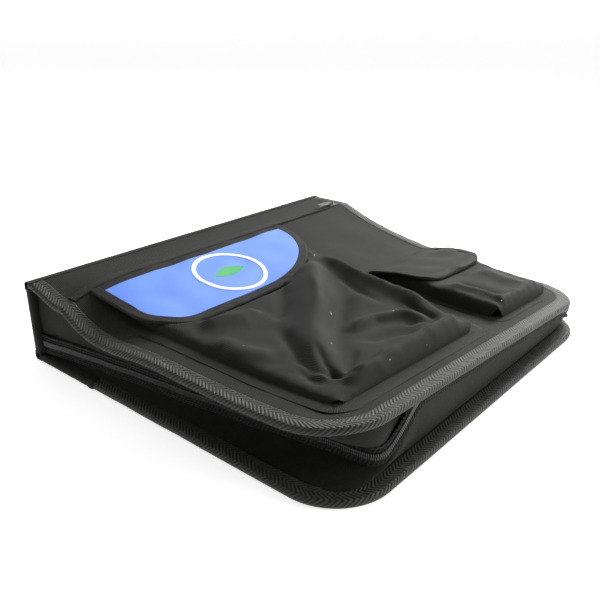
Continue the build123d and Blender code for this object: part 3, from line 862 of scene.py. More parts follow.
def tape_over(route: Points, width: float, height_at: Height, thick: float,
              proud: float = 0.35 * MM, seed: int = 1) -> Points:
    """Grid of a tape folded over an edge.

    Args:
        route: the edge in plan, the outside to its right.
        width: tape seen on each face.
        height_at: gives the height of the underside at X and Y.
        thick: thickness of what the tape is folded over.
        proud: how far the tape stands off each face.
        seed: picks the tape's unevenness.

    Returns:
        Rows from the upper inner edge, round the nose, to the lower inner edge.
    """
    nose = thick / 2 + proud
    leg = [(d, nose) for d in np.linspace(width - 0.5 * MM, nose, 6)]
    upper = [(width, thick / 2 - 0.1 * MM)] + leg
    bend = [(nose - nose * sin(a), nose * cos(a)) for a in np.linspace(0, pi, 11)[1:-1]]
    lower = [(d, -level) for d, level in reversed(upper)]
    section = np.array(upper + bend + lower)
    plan = route[None] - outward(route)[None] * section[:, 0][:, None, None]
    place = run_length(route)[None]
    uneven = ripple(place, section[:, 0][:, None] * 2, 14 * MM, seed) * 0.14 * MM
    level = section[:, 1][:, None] + np.sign(section[:, 1])[:, None] * uneven
    return lift(plan, height_at(*split(plan)) + thick / 2 + level)


class Stitcher:
    """Sews rows of stitches and lays rows of coil teeth."""

    def __init__(self) -> None:
        """Models one stitch: a thread that dives into the cloth at both ends."""
        deselect()
        bpy.ops.mesh.primitive_cylinder_add(vertices=6, radius=0.5, depth=0.62,
                                            rotation=(0, pi / 2, 0))
        self.stitch = bpy.context.active_object
        bpy.ops.object.transform_apply(location=True, rotation=True, scale=True)
        self.stitch.name = "stitch_shape"
        mesh = self.stitch.data
        bpy.ops.object.mode_set(mode="EDIT")
        shape = bmesh.from_edit_mesh(mesh)
        bpy.ops.mesh.select_all(action="DESELECT")
        for face in shape.faces:
            face.select = abs(face.normal.x) > 0.9
        bmesh.update_edit_mesh(mesh)
        bpy.ops.mesh.inset(thickness=0.2, depth=0.19, use_individual=True)
        bpy.ops.object.mode_set(mode="OBJECT")
        self.stitch.hide_render = True
        deselect()

    def row(self, name: str, route: Points, up: Points, pitch: float, length: float,
            width: float = 0.45 * MM, turn: float = 0.0) -> bpy.types.Object:
        """Lays stitches along a line.

        Args:
            name: name of the piece.
            route: points of the line.
            up: direction away from the cloth, at each point or for all.
            pitch: distance between stitches.
            length: length of one stitch.
            width: width of the thread.
            turn: angle of each stitch to the line, in radians.

        Returns:
            One piece with every stitch.
        """
        places, axes = self.frames(route, up, pitch, turn)
        size = np.array([length, width, width * 0.8])
        return copies(name, self.stitch, places, axes * size[None, :, None])

    @staticmethod
    def frames(route: Points, up: Points, pitch: float, turn: float) -> tuple[Points, Points]:
        """Places and axes of what repeats along a line."""
        far = run_length(route)
        count = max(1, int(far[-1] / pitch))
        spots = (np.arange(count) + 0.5) * far[-1] / count
        places = np.stack([np.interp(spots, far, route[:, k]) for k in range(3)], axis=1)
        slopes = np.gradient(route, axis=0)
        ahead = np.stack([np.interp(spots, far, slopes[:, k]) for k in range(3)], axis=1)
        ahead /= np.linalg.norm(ahead, axis=1)[:, None]
        ups = np.broadcast_to(np.asarray(up, float), route.shape)
        high = np.stack([np.interp(spots, far, ups[:, k]) for k in range(3)], axis=1)
        side = np.cross(high, ahead)
        side /= np.linalg.norm(side, axis=1)[:, None]
        high = np.cross(ahead, side)
        turned = ahead * cos(turn) + side * sin(turn)
        return places, np.stack([turned, np.cross(high, turned), high], axis=1)

    def clear(self) -> None:
        """Removes the shapes that the copies were made from."""
        bpy.data.objects.remove(self.stitch)


def dress(node: str, finish: bpy.types.Material) -> None:
    """Gives a CAD node that stays in view its finish."""
    mesh = frame["nodes"][node].data
    mesh.materials.clear()
    mesh.materials.append(finish)


@dataclass
class Maker:
    """What every part of the case is made with."""

    form: CaseForm
    finishes: Finishes
    stitcher: Stitcher


# ---------------------------------------------------------------- front cover
@dataclass
class FrontCover(Maker):
    """The sagging cover with its shelf, zip pocket, lining and binding."""

    cloth: float = 0.8 * MM
    step: float = 3 * MM
    zip_middle: float = 45 * MM
    slot_half: float = 4 * MM
    lip_overlap: float = 4.6 * MM
    lip_gap: float = 2.2 * MM
    tooth_pitch: float = 1.5 * MM
    stop_width: float = 2.2 * MM

    def build(self) -> None:
        """Builds and dresses every piece of the cover."""
        self.card()
        self.panel()
        self.shelf()
        self.lip()
        self.hidden_cloth()
        self.binding()
        self.zip()

    def card(self) -> None:
        """Stiff board inside the cover."""
        form = self.form
        plan = form.plan_rows(form.fore_front, form.fold_y - 0.5 * MM, 1.6 * MM, 4 * MM)
        grid = form.laid(plan, -2.3 * MM)
        obj = cloth("front_board_card", grid, 2.2 * MM)
        settle(obj, Body.FRONT, self.finishes.board, ["front_board"])

    def panel(self) -> None:
        """Outer cloth of the zip pocket, from the zip to the fore edge."""
        form = self.form
        start = form.y(self.zip_middle + self.slot_half)
        plan = form.plan_rows(form.fore_front, start, 9 * MM, self.step)
        x, y = split(plan)
        calm = smooth(form.shelf, form.shelf + 40 * MM, form.spine_face - y)
        soft = ripple(x, y, 70 * MM, 3) * 0.35 * MM + ripple(x, y, 22 * MM, 4) * 0.08 * MM
        calm_edge = np.minimum(form.half - np.abs(x), y - form.fore_front)
        calm = calm * smooth(14 * MM, 26 * MM, calm_edge)
        grid = form.laid(plan, soft * calm)
        obj = cloth("front_panel", grid, self.cloth, flat=plan)
        settle(obj, Body.FRONT, self.finishes.cloth, ["zip_pocket_panel"])

    def shelf(self) -> None:
        """Level strip of cloth between the spine and the zip."""
        form = self.form
        stop = form.y(self.zip_middle - self.slot_half)
        ys = np.linspace(form.fold_y + 0.5 * MM, stop, 16)
        xs = np.linspace(-form.half + 1 * MM, form.half - 1 * MM, 120)
        plan = crossed(xs, ys)
        bow = ripple(*split(plan), 90 * MM, 5) * 0.16 * MM
        edge = smooth(form.fold_y, form.fold_y - 8 * MM, plan[..., 1])
        grid = form.laid(plan, bow * edge - 0.02 * MM)
        obj = cloth("shelf_cloth", grid, self.cloth)
        settle(obj, Body.FRONT, self.finishes.cloth, ["front_yoke"])

    def lip(self) -> None:
        """Folded lip of the shelf's cloth that hides the zip, stopping short of the slider."""
        form = self.form
        slot_y = form.y(self.zip_middle - self.slot_half)
        reach = self.slot_half + self.lip_overlap
        slider_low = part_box("pocket_zip_slider")[0]
        xs = np.linspace(-form.half + form.tape + 0.5 * MM, slider_low.x - self.lip_gap, 110)
        profile = [(-5.0 * MM, -0.1 * MM), (-2.0 * MM, 0.3 * MM), (0.0, 0.7 * MM),
                   (reach * 0.35, 1.3 * MM), (reach * 0.7, 1.6 * MM), (reach * 0.92, 1.55 * MM),
                   (reach, 1.2 * MM), (reach, 0.75 * MM), (reach * 0.9, 0.6 * MM),
                   (reach * 0.6, 0.9 * MM)]
        rows = []
        for away, rise in profile:
            y = slot_y - away + ripple(xs, 0.0, 60 * MM, 8) * 0.25 * MM
            rows.append(np.stack([xs, y, form.top(xs, y) + rise], axis=1))
        grid = np.array(rows)
        obj = cloth("zip_lip", grid, 0.5 * MM)
        settle(obj, Body.FRONT, self.finishes.cloth)
        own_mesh(obj)

    def hidden_cloth(self) -> None:
        """Cloth behind the zip pocket, and the lining under the board."""
        form = self.form
        plan = form.plan_rows(form.fore_front, form.fold_y - 0.5 * MM, 2 * MM, 5 * MM)
        x, y = split(plan)
        back = cloth("zip_pocket_back", form.laid(plan, -1.6 * MM), 0.6 * MM, flat=plan)
        settle(back, Body.FRONT, self.finishes.lining, ["front_skin"])
        plan = form.plan_rows(form.fore_front, form.fold_y - 0.5 * MM, 1 * MM, 4 * MM)
        x, y = split(plan)
        soft = ripple(x, y, 60 * MM, 12) * 0.25 * MM + 0.2 * MM
        grid = lift(plan, form.under(x, y) + np.maximum(soft, 0.05 * MM))
        lining = cloth("front_lining_cloth", grid, 0.6 * MM, flat=plan, flip=True)
        settle(lining, Body.FRONT, self.finishes.lining, ["front_lining"])

    def binding(self) -> None:
        """Herringbone tape round the cover, with its two rows of stitches."""
        form = self.form
        start = form.fold_y + 1.5 * MM
        route = form.edge_route(form.fore_front, start)
        grid = tape_over(route, form.tape, form.under, form.board, seed=21)
        obj = cloth("front_binding_tape", grid, 0.5 * MM)
        settle(obj, Body.FRONT, self.finishes.binding, ["front_binding"])
        inner = route - outward(route) * (form.tape - 1.4 * MM)
        for label, rise in (("upper", form.board + 0.36 * MM), ("lower", -0.36 * MM)):
            line = lift(inner, form.under(*split(inner)) + rise)
            side = 1 if rise > 0 else -1
            row = self.stitcher.row(f"front_binding_stitches_{label}", line, (0, 0, side),
                                    *BINDING_STITCHES)
            settle(row, Body.FRONT, self.finishes.thread)

    def zip(self) -> None:
        """Tapes, coil teeth and stops of the pocket's zip."""
        form = self.form
        low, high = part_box("pocket_zip_tapes")
        xs = np.linspace(low.x, high.x, 120)
        middle, sunk = form.y(self.zip_middle), high.z - form.height
        for label, side in (("fore", -1), ("spine", 1)):
            ys = middle + side * np.linspace(4.8 * MM, 0.4 * MM, 7)
            ys = ys if side > 0 else ys[::-1]
            plan = crossed(xs, ys)
            obj = cloth(f"pocket_zip_tape_{label}", form.laid(plan, sunk), 0.5 * MM)
            settle(obj, Body.FRONT, self.finishes.zip_tape)
            plan = np.stack([xs, np.full(len(xs), middle + side * 1.1 * MM)], axis=1)
            line = form.laid(plan, sunk + 0.8 * MM)
            teeth = self.stitcher.row(f"pocket_zip_teeth_{label}", line, (0, 0, 1),
                                      self.tooth_pitch, 2.0 * MM, 1.0 * MM, pi / 2)
            settle(teeth, Body.FRONT, self.finishes.coil)
            if side < 0:
                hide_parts("pocket_zip_coils")
        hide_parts("pocket_zip_tapes")
        low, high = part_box("pocket_zip_stops")
        apart = high.x - low.x - self.stop_width
        centre = (low.x + high.x) / 2
        xs = np.linspace(centre - apart, centre + apart, 240)
        plan = np.stack([xs, np.full(len(xs), middle)], axis=1)
        line = form.laid(plan, sunk + 0.8 * MM)
        stops = self.stitcher.row("pocket_zip_stop_bars", line, (0, 0, 1), 0.99 * apart,
                                  4.4 * MM, self.stop_width, pi / 2)
        settle(stops, Body.FRONT, self.finishes.coil, ["pocket_zip_stops"])


# ---------------------------------------------------------------- back cover
@dataclass
class BackCover(Maker):
    """The flat cover that the case lies on."""

    bare: float = 78 * MM
    step: float = 4 * MM
    cloth: float = 0.8 * MM
    knot: float = 7 * MM
    bare_width: float = 9 * MM
    bare_cut: float = 24 * MM

    def build(self) -> None:
        """Builds and dresses every piece of the cover."""
        self.panels()
        self.binding()
        self.bare_edges()
        self.slip_pocket()
        dress("back_board", self.finishes.board)

    def panels(self) -> None:
        """Outer cloth under the board and lining over it."""
        form = self.form
        size = (2 * form.half, form.fold_y - form.fore_back)
        plan = form.plan_rows(form.fore_back, form.fold_y - 0.5 * MM, 1 * MM, self.step)
        x, y = split(plan)
        outer = lift(plan, 0.12 * MM + 0.1 * MM * ripple(x, y, 60 * MM, 31) ** 2)
        obj = cloth("back_cloth", outer, self.cloth, flat=plan, flip=True)
        settle(obj, Body.BACK, self.finishes.cloth, ["back_skin"])
        plan = form.plan_rows(form.fore_back, form.fold_y - 0.5 * MM, 8 * MM, self.step)
        x, y = split(plan)
        soft = ripple(x, y, 50 * MM, 32) * 0.3 * MM + ripple(x, y, 18 * MM, 33) * 0.1 * MM
        edge = smooth(14 * MM, 24 * MM, np.minimum(form.half - np.abs(x), y - form.fore_back))
        inner = lift(plan, form.board + 0.1 * MM + np.maximum(soft, -0.2 * MM) * edge)
        lining = cloth("back_lining_cloth", inner, 0.6 * MM, flat=plan)
        settle(lining, Body.BACK, self.finishes.lining, ["back_lining"])
        size = (size[0] - 16 * MM, size[1] - 8 * MM)

    def level(self, x: Points, y: Points) -> Points:
        """Height of the cover's underside: it lies flat on the table."""
        return np.zeros(np.broadcast(x, y).shape)

    def binding(self) -> None:
        """Herringbone tape, tucked under at its two ends."""
        form = self.form
        start = form.y(self.bare)
        route = form.edge_route(form.fore_back, start)
        grid = tape_over(route, form.tape, self.level, form.board, seed=23, proud=0.3 * MM)
        grid[..., 2] = np.maximum(grid[..., 2], 0.02 * MM)
        obj = cloth("back_binding_tape", grid, 0.5 * MM)
        settle(obj, Body.BACK, self.finishes.binding, ["back_binding"])
        inner = route - outward(route) * (form.tape - 1.4 * MM)
        for label, height in (("upper", form.board + 0.3 * MM), ("lower", 0.1 * MM)):
            side = 1 if height > form.board else -1
            row = self.stitcher.row(f"back_binding_stitches_{label}", lift(inner, height),
                                    (0, 0, side), *BINDING_STITCHES)
            settle(row, Body.BACK, self.finishes.thread)
        for label, side in ENDS:
            self.tuck(label, side, start)

    def tuck(self, label: str, side: int, start: float) -> bpy.types.Object:
        """The tape's end, folded back on itself into a small lump.

        Args:
            label: which end of the case.
            side: -1 at the near end and 1 at the far end.
            start: Y where the tape ends.

        Returns:
            The piece.
        """
        form = self.form
        length = np.linspace(-self.knot * 0.35, self.knot * 0.65, 14)
        turn = np.linspace(-0.15 * pi, 1.15 * pi, 22)
        grid = np.empty((len(turn), len(length), 3))
        for column, along in enumerate(length):
            share = along / self.knot + 0.35
            swell = sqrt(max(0.0, 1 - (2 * share - 1) ** 2)) * 0.9 * MM
            nose = form.board / 2 + 0.35 * MM + swell
            ys = start + along + 0.5 * MM * np.sin(turn * 3)
            xs = side * (form.half - nose * 0.6 + (nose + swell) * np.sin(turn) * 0.75)
            zs = form.board / 2 + nose * np.cos(turn)
            grid[:, column] = np.stack([xs, ys, np.clip(zs, 0.05 * MM, None)], axis=1)
        obj = cloth(f"back_tape_tuck_{label}", grid, 0.5 * MM, flip=side < 0)
        return settle(obj, Body.BACK, self.finishes.flap_tape)

    def bare_edges(self) -> None:
        """Outer cloth turned up over the board's edge where there is no tape."""
        form = self.form
        for label, side in ENDS:
            ys = np.linspace(form.fold_y - 1 * MM, form.y(self.bare) - 2 * MM, 34)
            if side > 0:
                ys = ys[::-1]
            route = np.stack([np.full(len(ys), side * (form.half + 0.9 * MM)), ys], axis=1)
            grid = tape_over(route, self.bare_width, self.level, form.board, seed=41 + side,
                             proud=0.5 * MM)
            grid[..., 2] = np.maximum(grid[..., 2], 0.04 * MM)
            obj = cloth(f"back_bare_edge_{label}", grid, 0.5 * MM)
            settle(obj, Body.BACK, self.finishes.cloth)

    def slip_pocket(self) -> None:
        """Flat pocket inside the case, with a bound mouth."""
        form = self.form
        low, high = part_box("inner_slip_pocket")
        ys = np.linspace(high.y, low.y, 60)
        xs = np.linspace(low.x, high.x, 90)
        plan = crossed(xs, ys)
        across = (plan[..., 0] / high.x) ** 2
        along = (high.y - plan[..., 1]) / (high.y - low.y)
        swell = (1 - across**3) * (1 - along**4)
        soft = ripple(*split(plan), 45 * MM, 51) * 0.35 * MM
        rise = 0.9 * MM + (1.3 * MM + soft) * swell
        border = 1 - np.clip(1 - (1 - np.abs(plan[..., 0]) / high.x) * 60, 0, 1) ** 2
        grid = lift(plan, form.board + 0.3 * MM + rise * border)
        obj = cloth("slip_pocket_cloth", grid, 0.5 * MM)
        settle(obj, Body.BACK, self.finishes.pocket, ["inner_slip_pocket"])
        route = np.stack([xs, np.full(len(xs), high.y + 0.6 * MM)], axis=1)[::-1]
        mouth = grid[0, ::-1, 2]

        def below(x: Points, y: Points) -> Points:
            """Height of the pocket's cloth at its mouth."""
            return np.interp(x, xs, mouth[::-1]) - 0.6 * MM

        tape = cloth("slip_pocket_tape", tape_over(route, 10 * MM, below, 0.9 * MM,
                                                   0.3 * MM, 52), 0.4 * MM)
        settle(tape, Body.BACK, self.finishes.flap_tape, ["inner_pocket_binding"])
        sides = np.array([(low.x + 1.5 * MM, high.y), (low.x + 1.5 * MM, low.y + 1.5 * MM),
                          (high.x - 1.5 * MM, low.y + 1.5 * MM), (high.x - 1.5 * MM, high.y)])
        line = lift(resample(sides, 3 * MM), form.board + 1.0 * MM)
        sewn = self.stitcher.row("slip_pocket_stitches", line, (0, 0, 1), 3.2 * MM, 2.2 * MM)
        settle(sewn, Body.BACK, self.finishes.thread)


# ---------------------------------------------------------------- spine, folds and handle
@dataclass
class Spine(Maker):
    """The stiff spine, the two folds that it turns on, and its handle."""

    cloth: float = 0.8 * MM
    turn_in: float = 6 * MM
    tuck_depth: float = 5 * MM
    tuck_cut: float = 13 * MM
    foot: float = 26 * MM
    patch_length: float = 27 * MM

    def build(self) -> None:
        """Builds and dresses every piece of the spine."""
        self.outer()
        self.lining()
        self.folds()
        self.end_tucks()
        self.handle()
        dress("spine_board", self.finishes.board)

    def outer(self) -> None:
        """Outer cloth, turned round both ends of the board."""
        form = self.form
        low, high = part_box("spine_skin")
        inner_y, radius = low.y + 0.15 * MM, 1.6 * MM
        corners = ((form.half - self.turn_in, inner_y), (form.half, inner_y),
                   (form.half, high.y), (-form.half, high.y), (-form.half, inner_y),
                   (-form.half + self.turn_in, inner_y))
        route = rounded_route(corners, radius, (4, 5, 3, 5, 130, 5, 3, 5, 4))
        zs = np.linspace(high.z + 0.4 * MM, low.z - 0.4 * MM, 26)
        grid = np.stack([lift(route, z) for z in zs])
        face = np.clip((grid[..., 1] - (high.y - 1.2 * MM)) / (1.2 * MM), 0, 1)
        middle = np.sin((grid[..., 2] - low.z) / (high.z - low.z) * pi).clip(0, 1)
        bow = ripple(grid[..., 0], grid[..., 2], 55 * MM, 61) * 0.12 * MM - 0.15 * MM
        grid[..., 1] += face * middle * bow
        obj = cloth("spine_cloth", grid, self.cloth)
        settle(obj, Body.SPINE, self.finishes.cloth, ["spine_skin"])
        xs = np.linspace(form.half - 4 * MM, -form.half + 4 * MM, 90)
        for label, z in (("lower", low.z + 3 * MM), ("upper", high.z - 3 * MM)):
            line = np.array([(x, high.y + 0.02 * MM, z) for x in xs])
            row = self.stitcher.row(f"spine_stitches_{label}", line, (0, 1, 0), 3.4 * MM, 2.4 * MM)
            settle(row, Body.SPINE, self.finishes.thread)

    def lining(self) -> None:
        """Lining on the inside of the spine."""
        form = self.form
        low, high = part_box("spine_lining")
        xs = np.linspace(-form.half + 4 * MM, form.half - 4 * MM, 90)
        zs = np.linspace(high.z, low.z, 16)
        x, z = np.meshgrid(xs, zs)
        y = low.y + 0.1 * MM + 0.12 * MM * ripple(x, z, 40 * MM, 62) ** 2
        obj = cloth("spine_lining_cloth", np.stack([x, y, z], axis=-1), 0.6 * MM)
        settle(obj, Body.SPINE, self.finishes.lining, ["spine_lining"])

    def folds(self) -> None:
        """Cloth over the two folds outside, and the lining's hinges inside."""
        form = self.form
        for name, body in (("lower_fold", Body.BACK), ("upper_fold", Body.FRONT)):
            low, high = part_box(name)
            up = 1 if body is Body.FRONT else -1
            radius, middle = (high.z - low.z) / 2, (high.z + low.z) / 2
            turns = np.linspace(pi / 2, 0, 12)
            arc = [(high.y - radius + radius * cos(a), middle + up * radius * sin(a))
                   for a in turns]
            section = ([(low.y - 2.5 * MM, middle + up * radius)] + arc
                       + [(high.y, middle - up * (radius + 1.5 * MM))])
            inside = self.inner_hinge(low.y, middle, up, radius)
            for label, line, finish, node in (
                (name.replace("_", "_cloth_"), section, self.finishes.cloth, [name]),
                (name.replace("_fold", "_inner_hinge"), inside, self.finishes.lining, []),
            ):
                xs = np.linspace(-form.half + 0.2 * MM, form.half - 0.2 * MM, 60)
                path = resample(np.array(line), 0.7 * MM)
                grid = np.stack([np.stack([xs, np.full(len(xs), y), np.full(len(xs), z)], axis=1)
                                 for y, z in path])
                outside = line is section
                obj = cloth(label, grid, 0.5 * MM, flip=(up < 0) == outside)
                obj.data.materials.append(finish)
                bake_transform(obj)
                if node:
                    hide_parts(*node)
                log.info("%s between %s and the spine", obj.name, body.value)

    def inner_hinge(self, inner_y: float, middle: float, up: int,
                    radius: float) -> list[tuple[float, float]]:
        """Slack loop of lining in the corner between a cover and the spine.

        Args:
            inner_y: Y of the spine's inner face.
            middle: height of the fold's axis.
            up: 1 at the upper fold and -1 at the lower one.
            radius: radius of the fold.

        Returns:
            Points in Y and Z.
        """
        face = middle - up * radius
        return [(inner_y - 5 * MM, face), (inner_y - 2 * MM, face - up * 0.3 * MM),
                (inner_y - 0.6 * MM, face - up * 0.2 * MM), (inner_y, face - up * 1.2 * MM),
                (inner_y - 0.1 * MM, face - up * 4 * MM)]

    def end_tucks(self) -> None:
        """Lining folded into the corners at both ends of the spine."""
        form = self.form
        low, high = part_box("spine_skin")
        for label, side in ENDS:
            zs = np.linspace(high.z + 0.2 * MM, low.z - 0.2 * MM, 30)
            rows = []
            for z in zs:
                share = (high.z - z) / (high.z - low.z)
                depth = self.tuck_depth * (0.35 + 0.9 * smooth(0.62, 0.92, np.array(share)))
                depth = float(depth) * (1 - 0.25 * float(smooth(0.93, 1.0, np.array(share))))
                swell = 1.4 * MM + 1.2 * MM * float(smooth(0.6, 0.9, np.array(share)))
                wave = 0.5 * MM * sin(z / (9 * MM))
                points = [(form.half - 0.5 * MM, low.y + 1.2 * MM),
                          (form.half - 0.7 * MM, low.y - depth * 0.35),
                          (form.half - 0.7 * MM - swell, low.y - depth * 0.8 + wave),
                          (form.half - 3.5 * MM - swell, low.y - depth + wave),
                          (form.half - 6 * MM - swell, low.y - depth * 0.8)]
                plan = resample(np.array(points), 1.2 * MM)
                plan = np.stack([np.interp(np.linspace(0, 1, 14), np.linspace(0, 1, len(plan)),
                                           plan[:, k]) for k in (0, 1)], axis=1)
                plan[:, 0] *= side
                rows.append(lift(plan, z))
            obj = cloth(f"spine_end_tuck_{label}", np.array(rows), 0.6 * MM, flip=side < 0)
            apply_modifier(obj, "SUBSURF", levels=1, render_levels=1)
            settle(obj, Body.SPINE, self.finishes.lining)

    def handle(self) -> None:
        """Webbing handle, its patches and their box stitches."""
        low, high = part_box("handle_webbing")
        patch_low, patch_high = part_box("handle_patches")
        middle, width = (low.z + high.z) / 2, high.z - low.z
        foot, rise, half = self.foot, high.y - low.y - 2.6 * MM, high.x
        spots = np.linspace(-half, half, 90)
        lift_share = smooth(half - foot + 2 * MM, half - foot - 20 * MM, np.abs(spots))
        crown = 1 - 0.12 * (spots / half) ** 2
        ys = low.y + 0.15 * MM + rise * lift_share * crown
        route = resample(np.stack([spots, ys], axis=1), 1.6 * MM)
        across = np.linspace(1, -1, 15)
        grid = np.empty((len(across), len(route), 3))
        normal = outward(route)
        for row, share in enumerate(across):
            cup = -0.5 * MM * share**2
            plan = route - normal * cup
            grid[row] = lift(plan, middle + share * width / 2)
        strap = cloth("handle_strap", grid[:, ::-1], 2.2 * MM, offset=0.8)
        apply_modifier(strap, "BEVEL", width=0.5 * MM, segments=2, angle_limit=radians(50))
        settle(strap, Body.SPINE, self.finishes.webbing, ["handle_webbing"])
        for label, side in ENDS:
            self.patch(label, side, patch_low, patch_high)

    def patch(self, label: str, side: int, low: Vector, high: Vector) -> None:
        """Patch under one foot of the handle, with its stitches.

        Args:
            label: which end.
            side: -1 at the near end and 1 at the far end.
            low: lowest corner of the patches.
            high: highest corner of the patches.
        """
        xs = np.linspace(high.x, high.x - self.patch_length, 20) * side
        zs = np.linspace(high.z, low.z, 20)
        x, z = np.meshgrid(xs if side > 0 else xs[::-1], zs)
        border = np.minimum(np.minimum(x - x.min(), x.max() - x),
                            np.minimum(z - low.z, high.z - z))
        y = low.y + 0.75 * MM * smooth(-0.2 * MM, 1.2 * MM, border)
        obj = cloth(f"handle_patch_{label}", np.stack([x, y, z], axis=-1), 0.6 * MM)
        settle(obj, Body.SPINE, self.finishes.cloth,
               ["handle_patches"] if side < 0 else ())
        inset, face = 3.6 * MM, low.y + 3.1 * MM
        left, right = side * (high.x - 3 * MM - 1.6 * MM), side * (high.x - self.foot)
        down, up = low.z + 3 * MM + inset * 0.5, high.z - 3 * MM - inset * 0.5
        loop = [(left, down), (left, up), (right, up), (right, down), (left, down), (right, up),
                (right, down), (left, up)]
        line = resample(np.array(loop), 1.5 * MM)
        route = np.stack([line[:, 0], np.full(len(line), face), line[:, 1]], axis=1)
        sewn = self.stitcher.row(f"handle_stitches_{label}", route, (0, 1, 0), 2.8 * MM, 2.1 * MM,
                                 0.6 * MM)
        settle(sewn, Body.SPINE, self.finishes.thread)


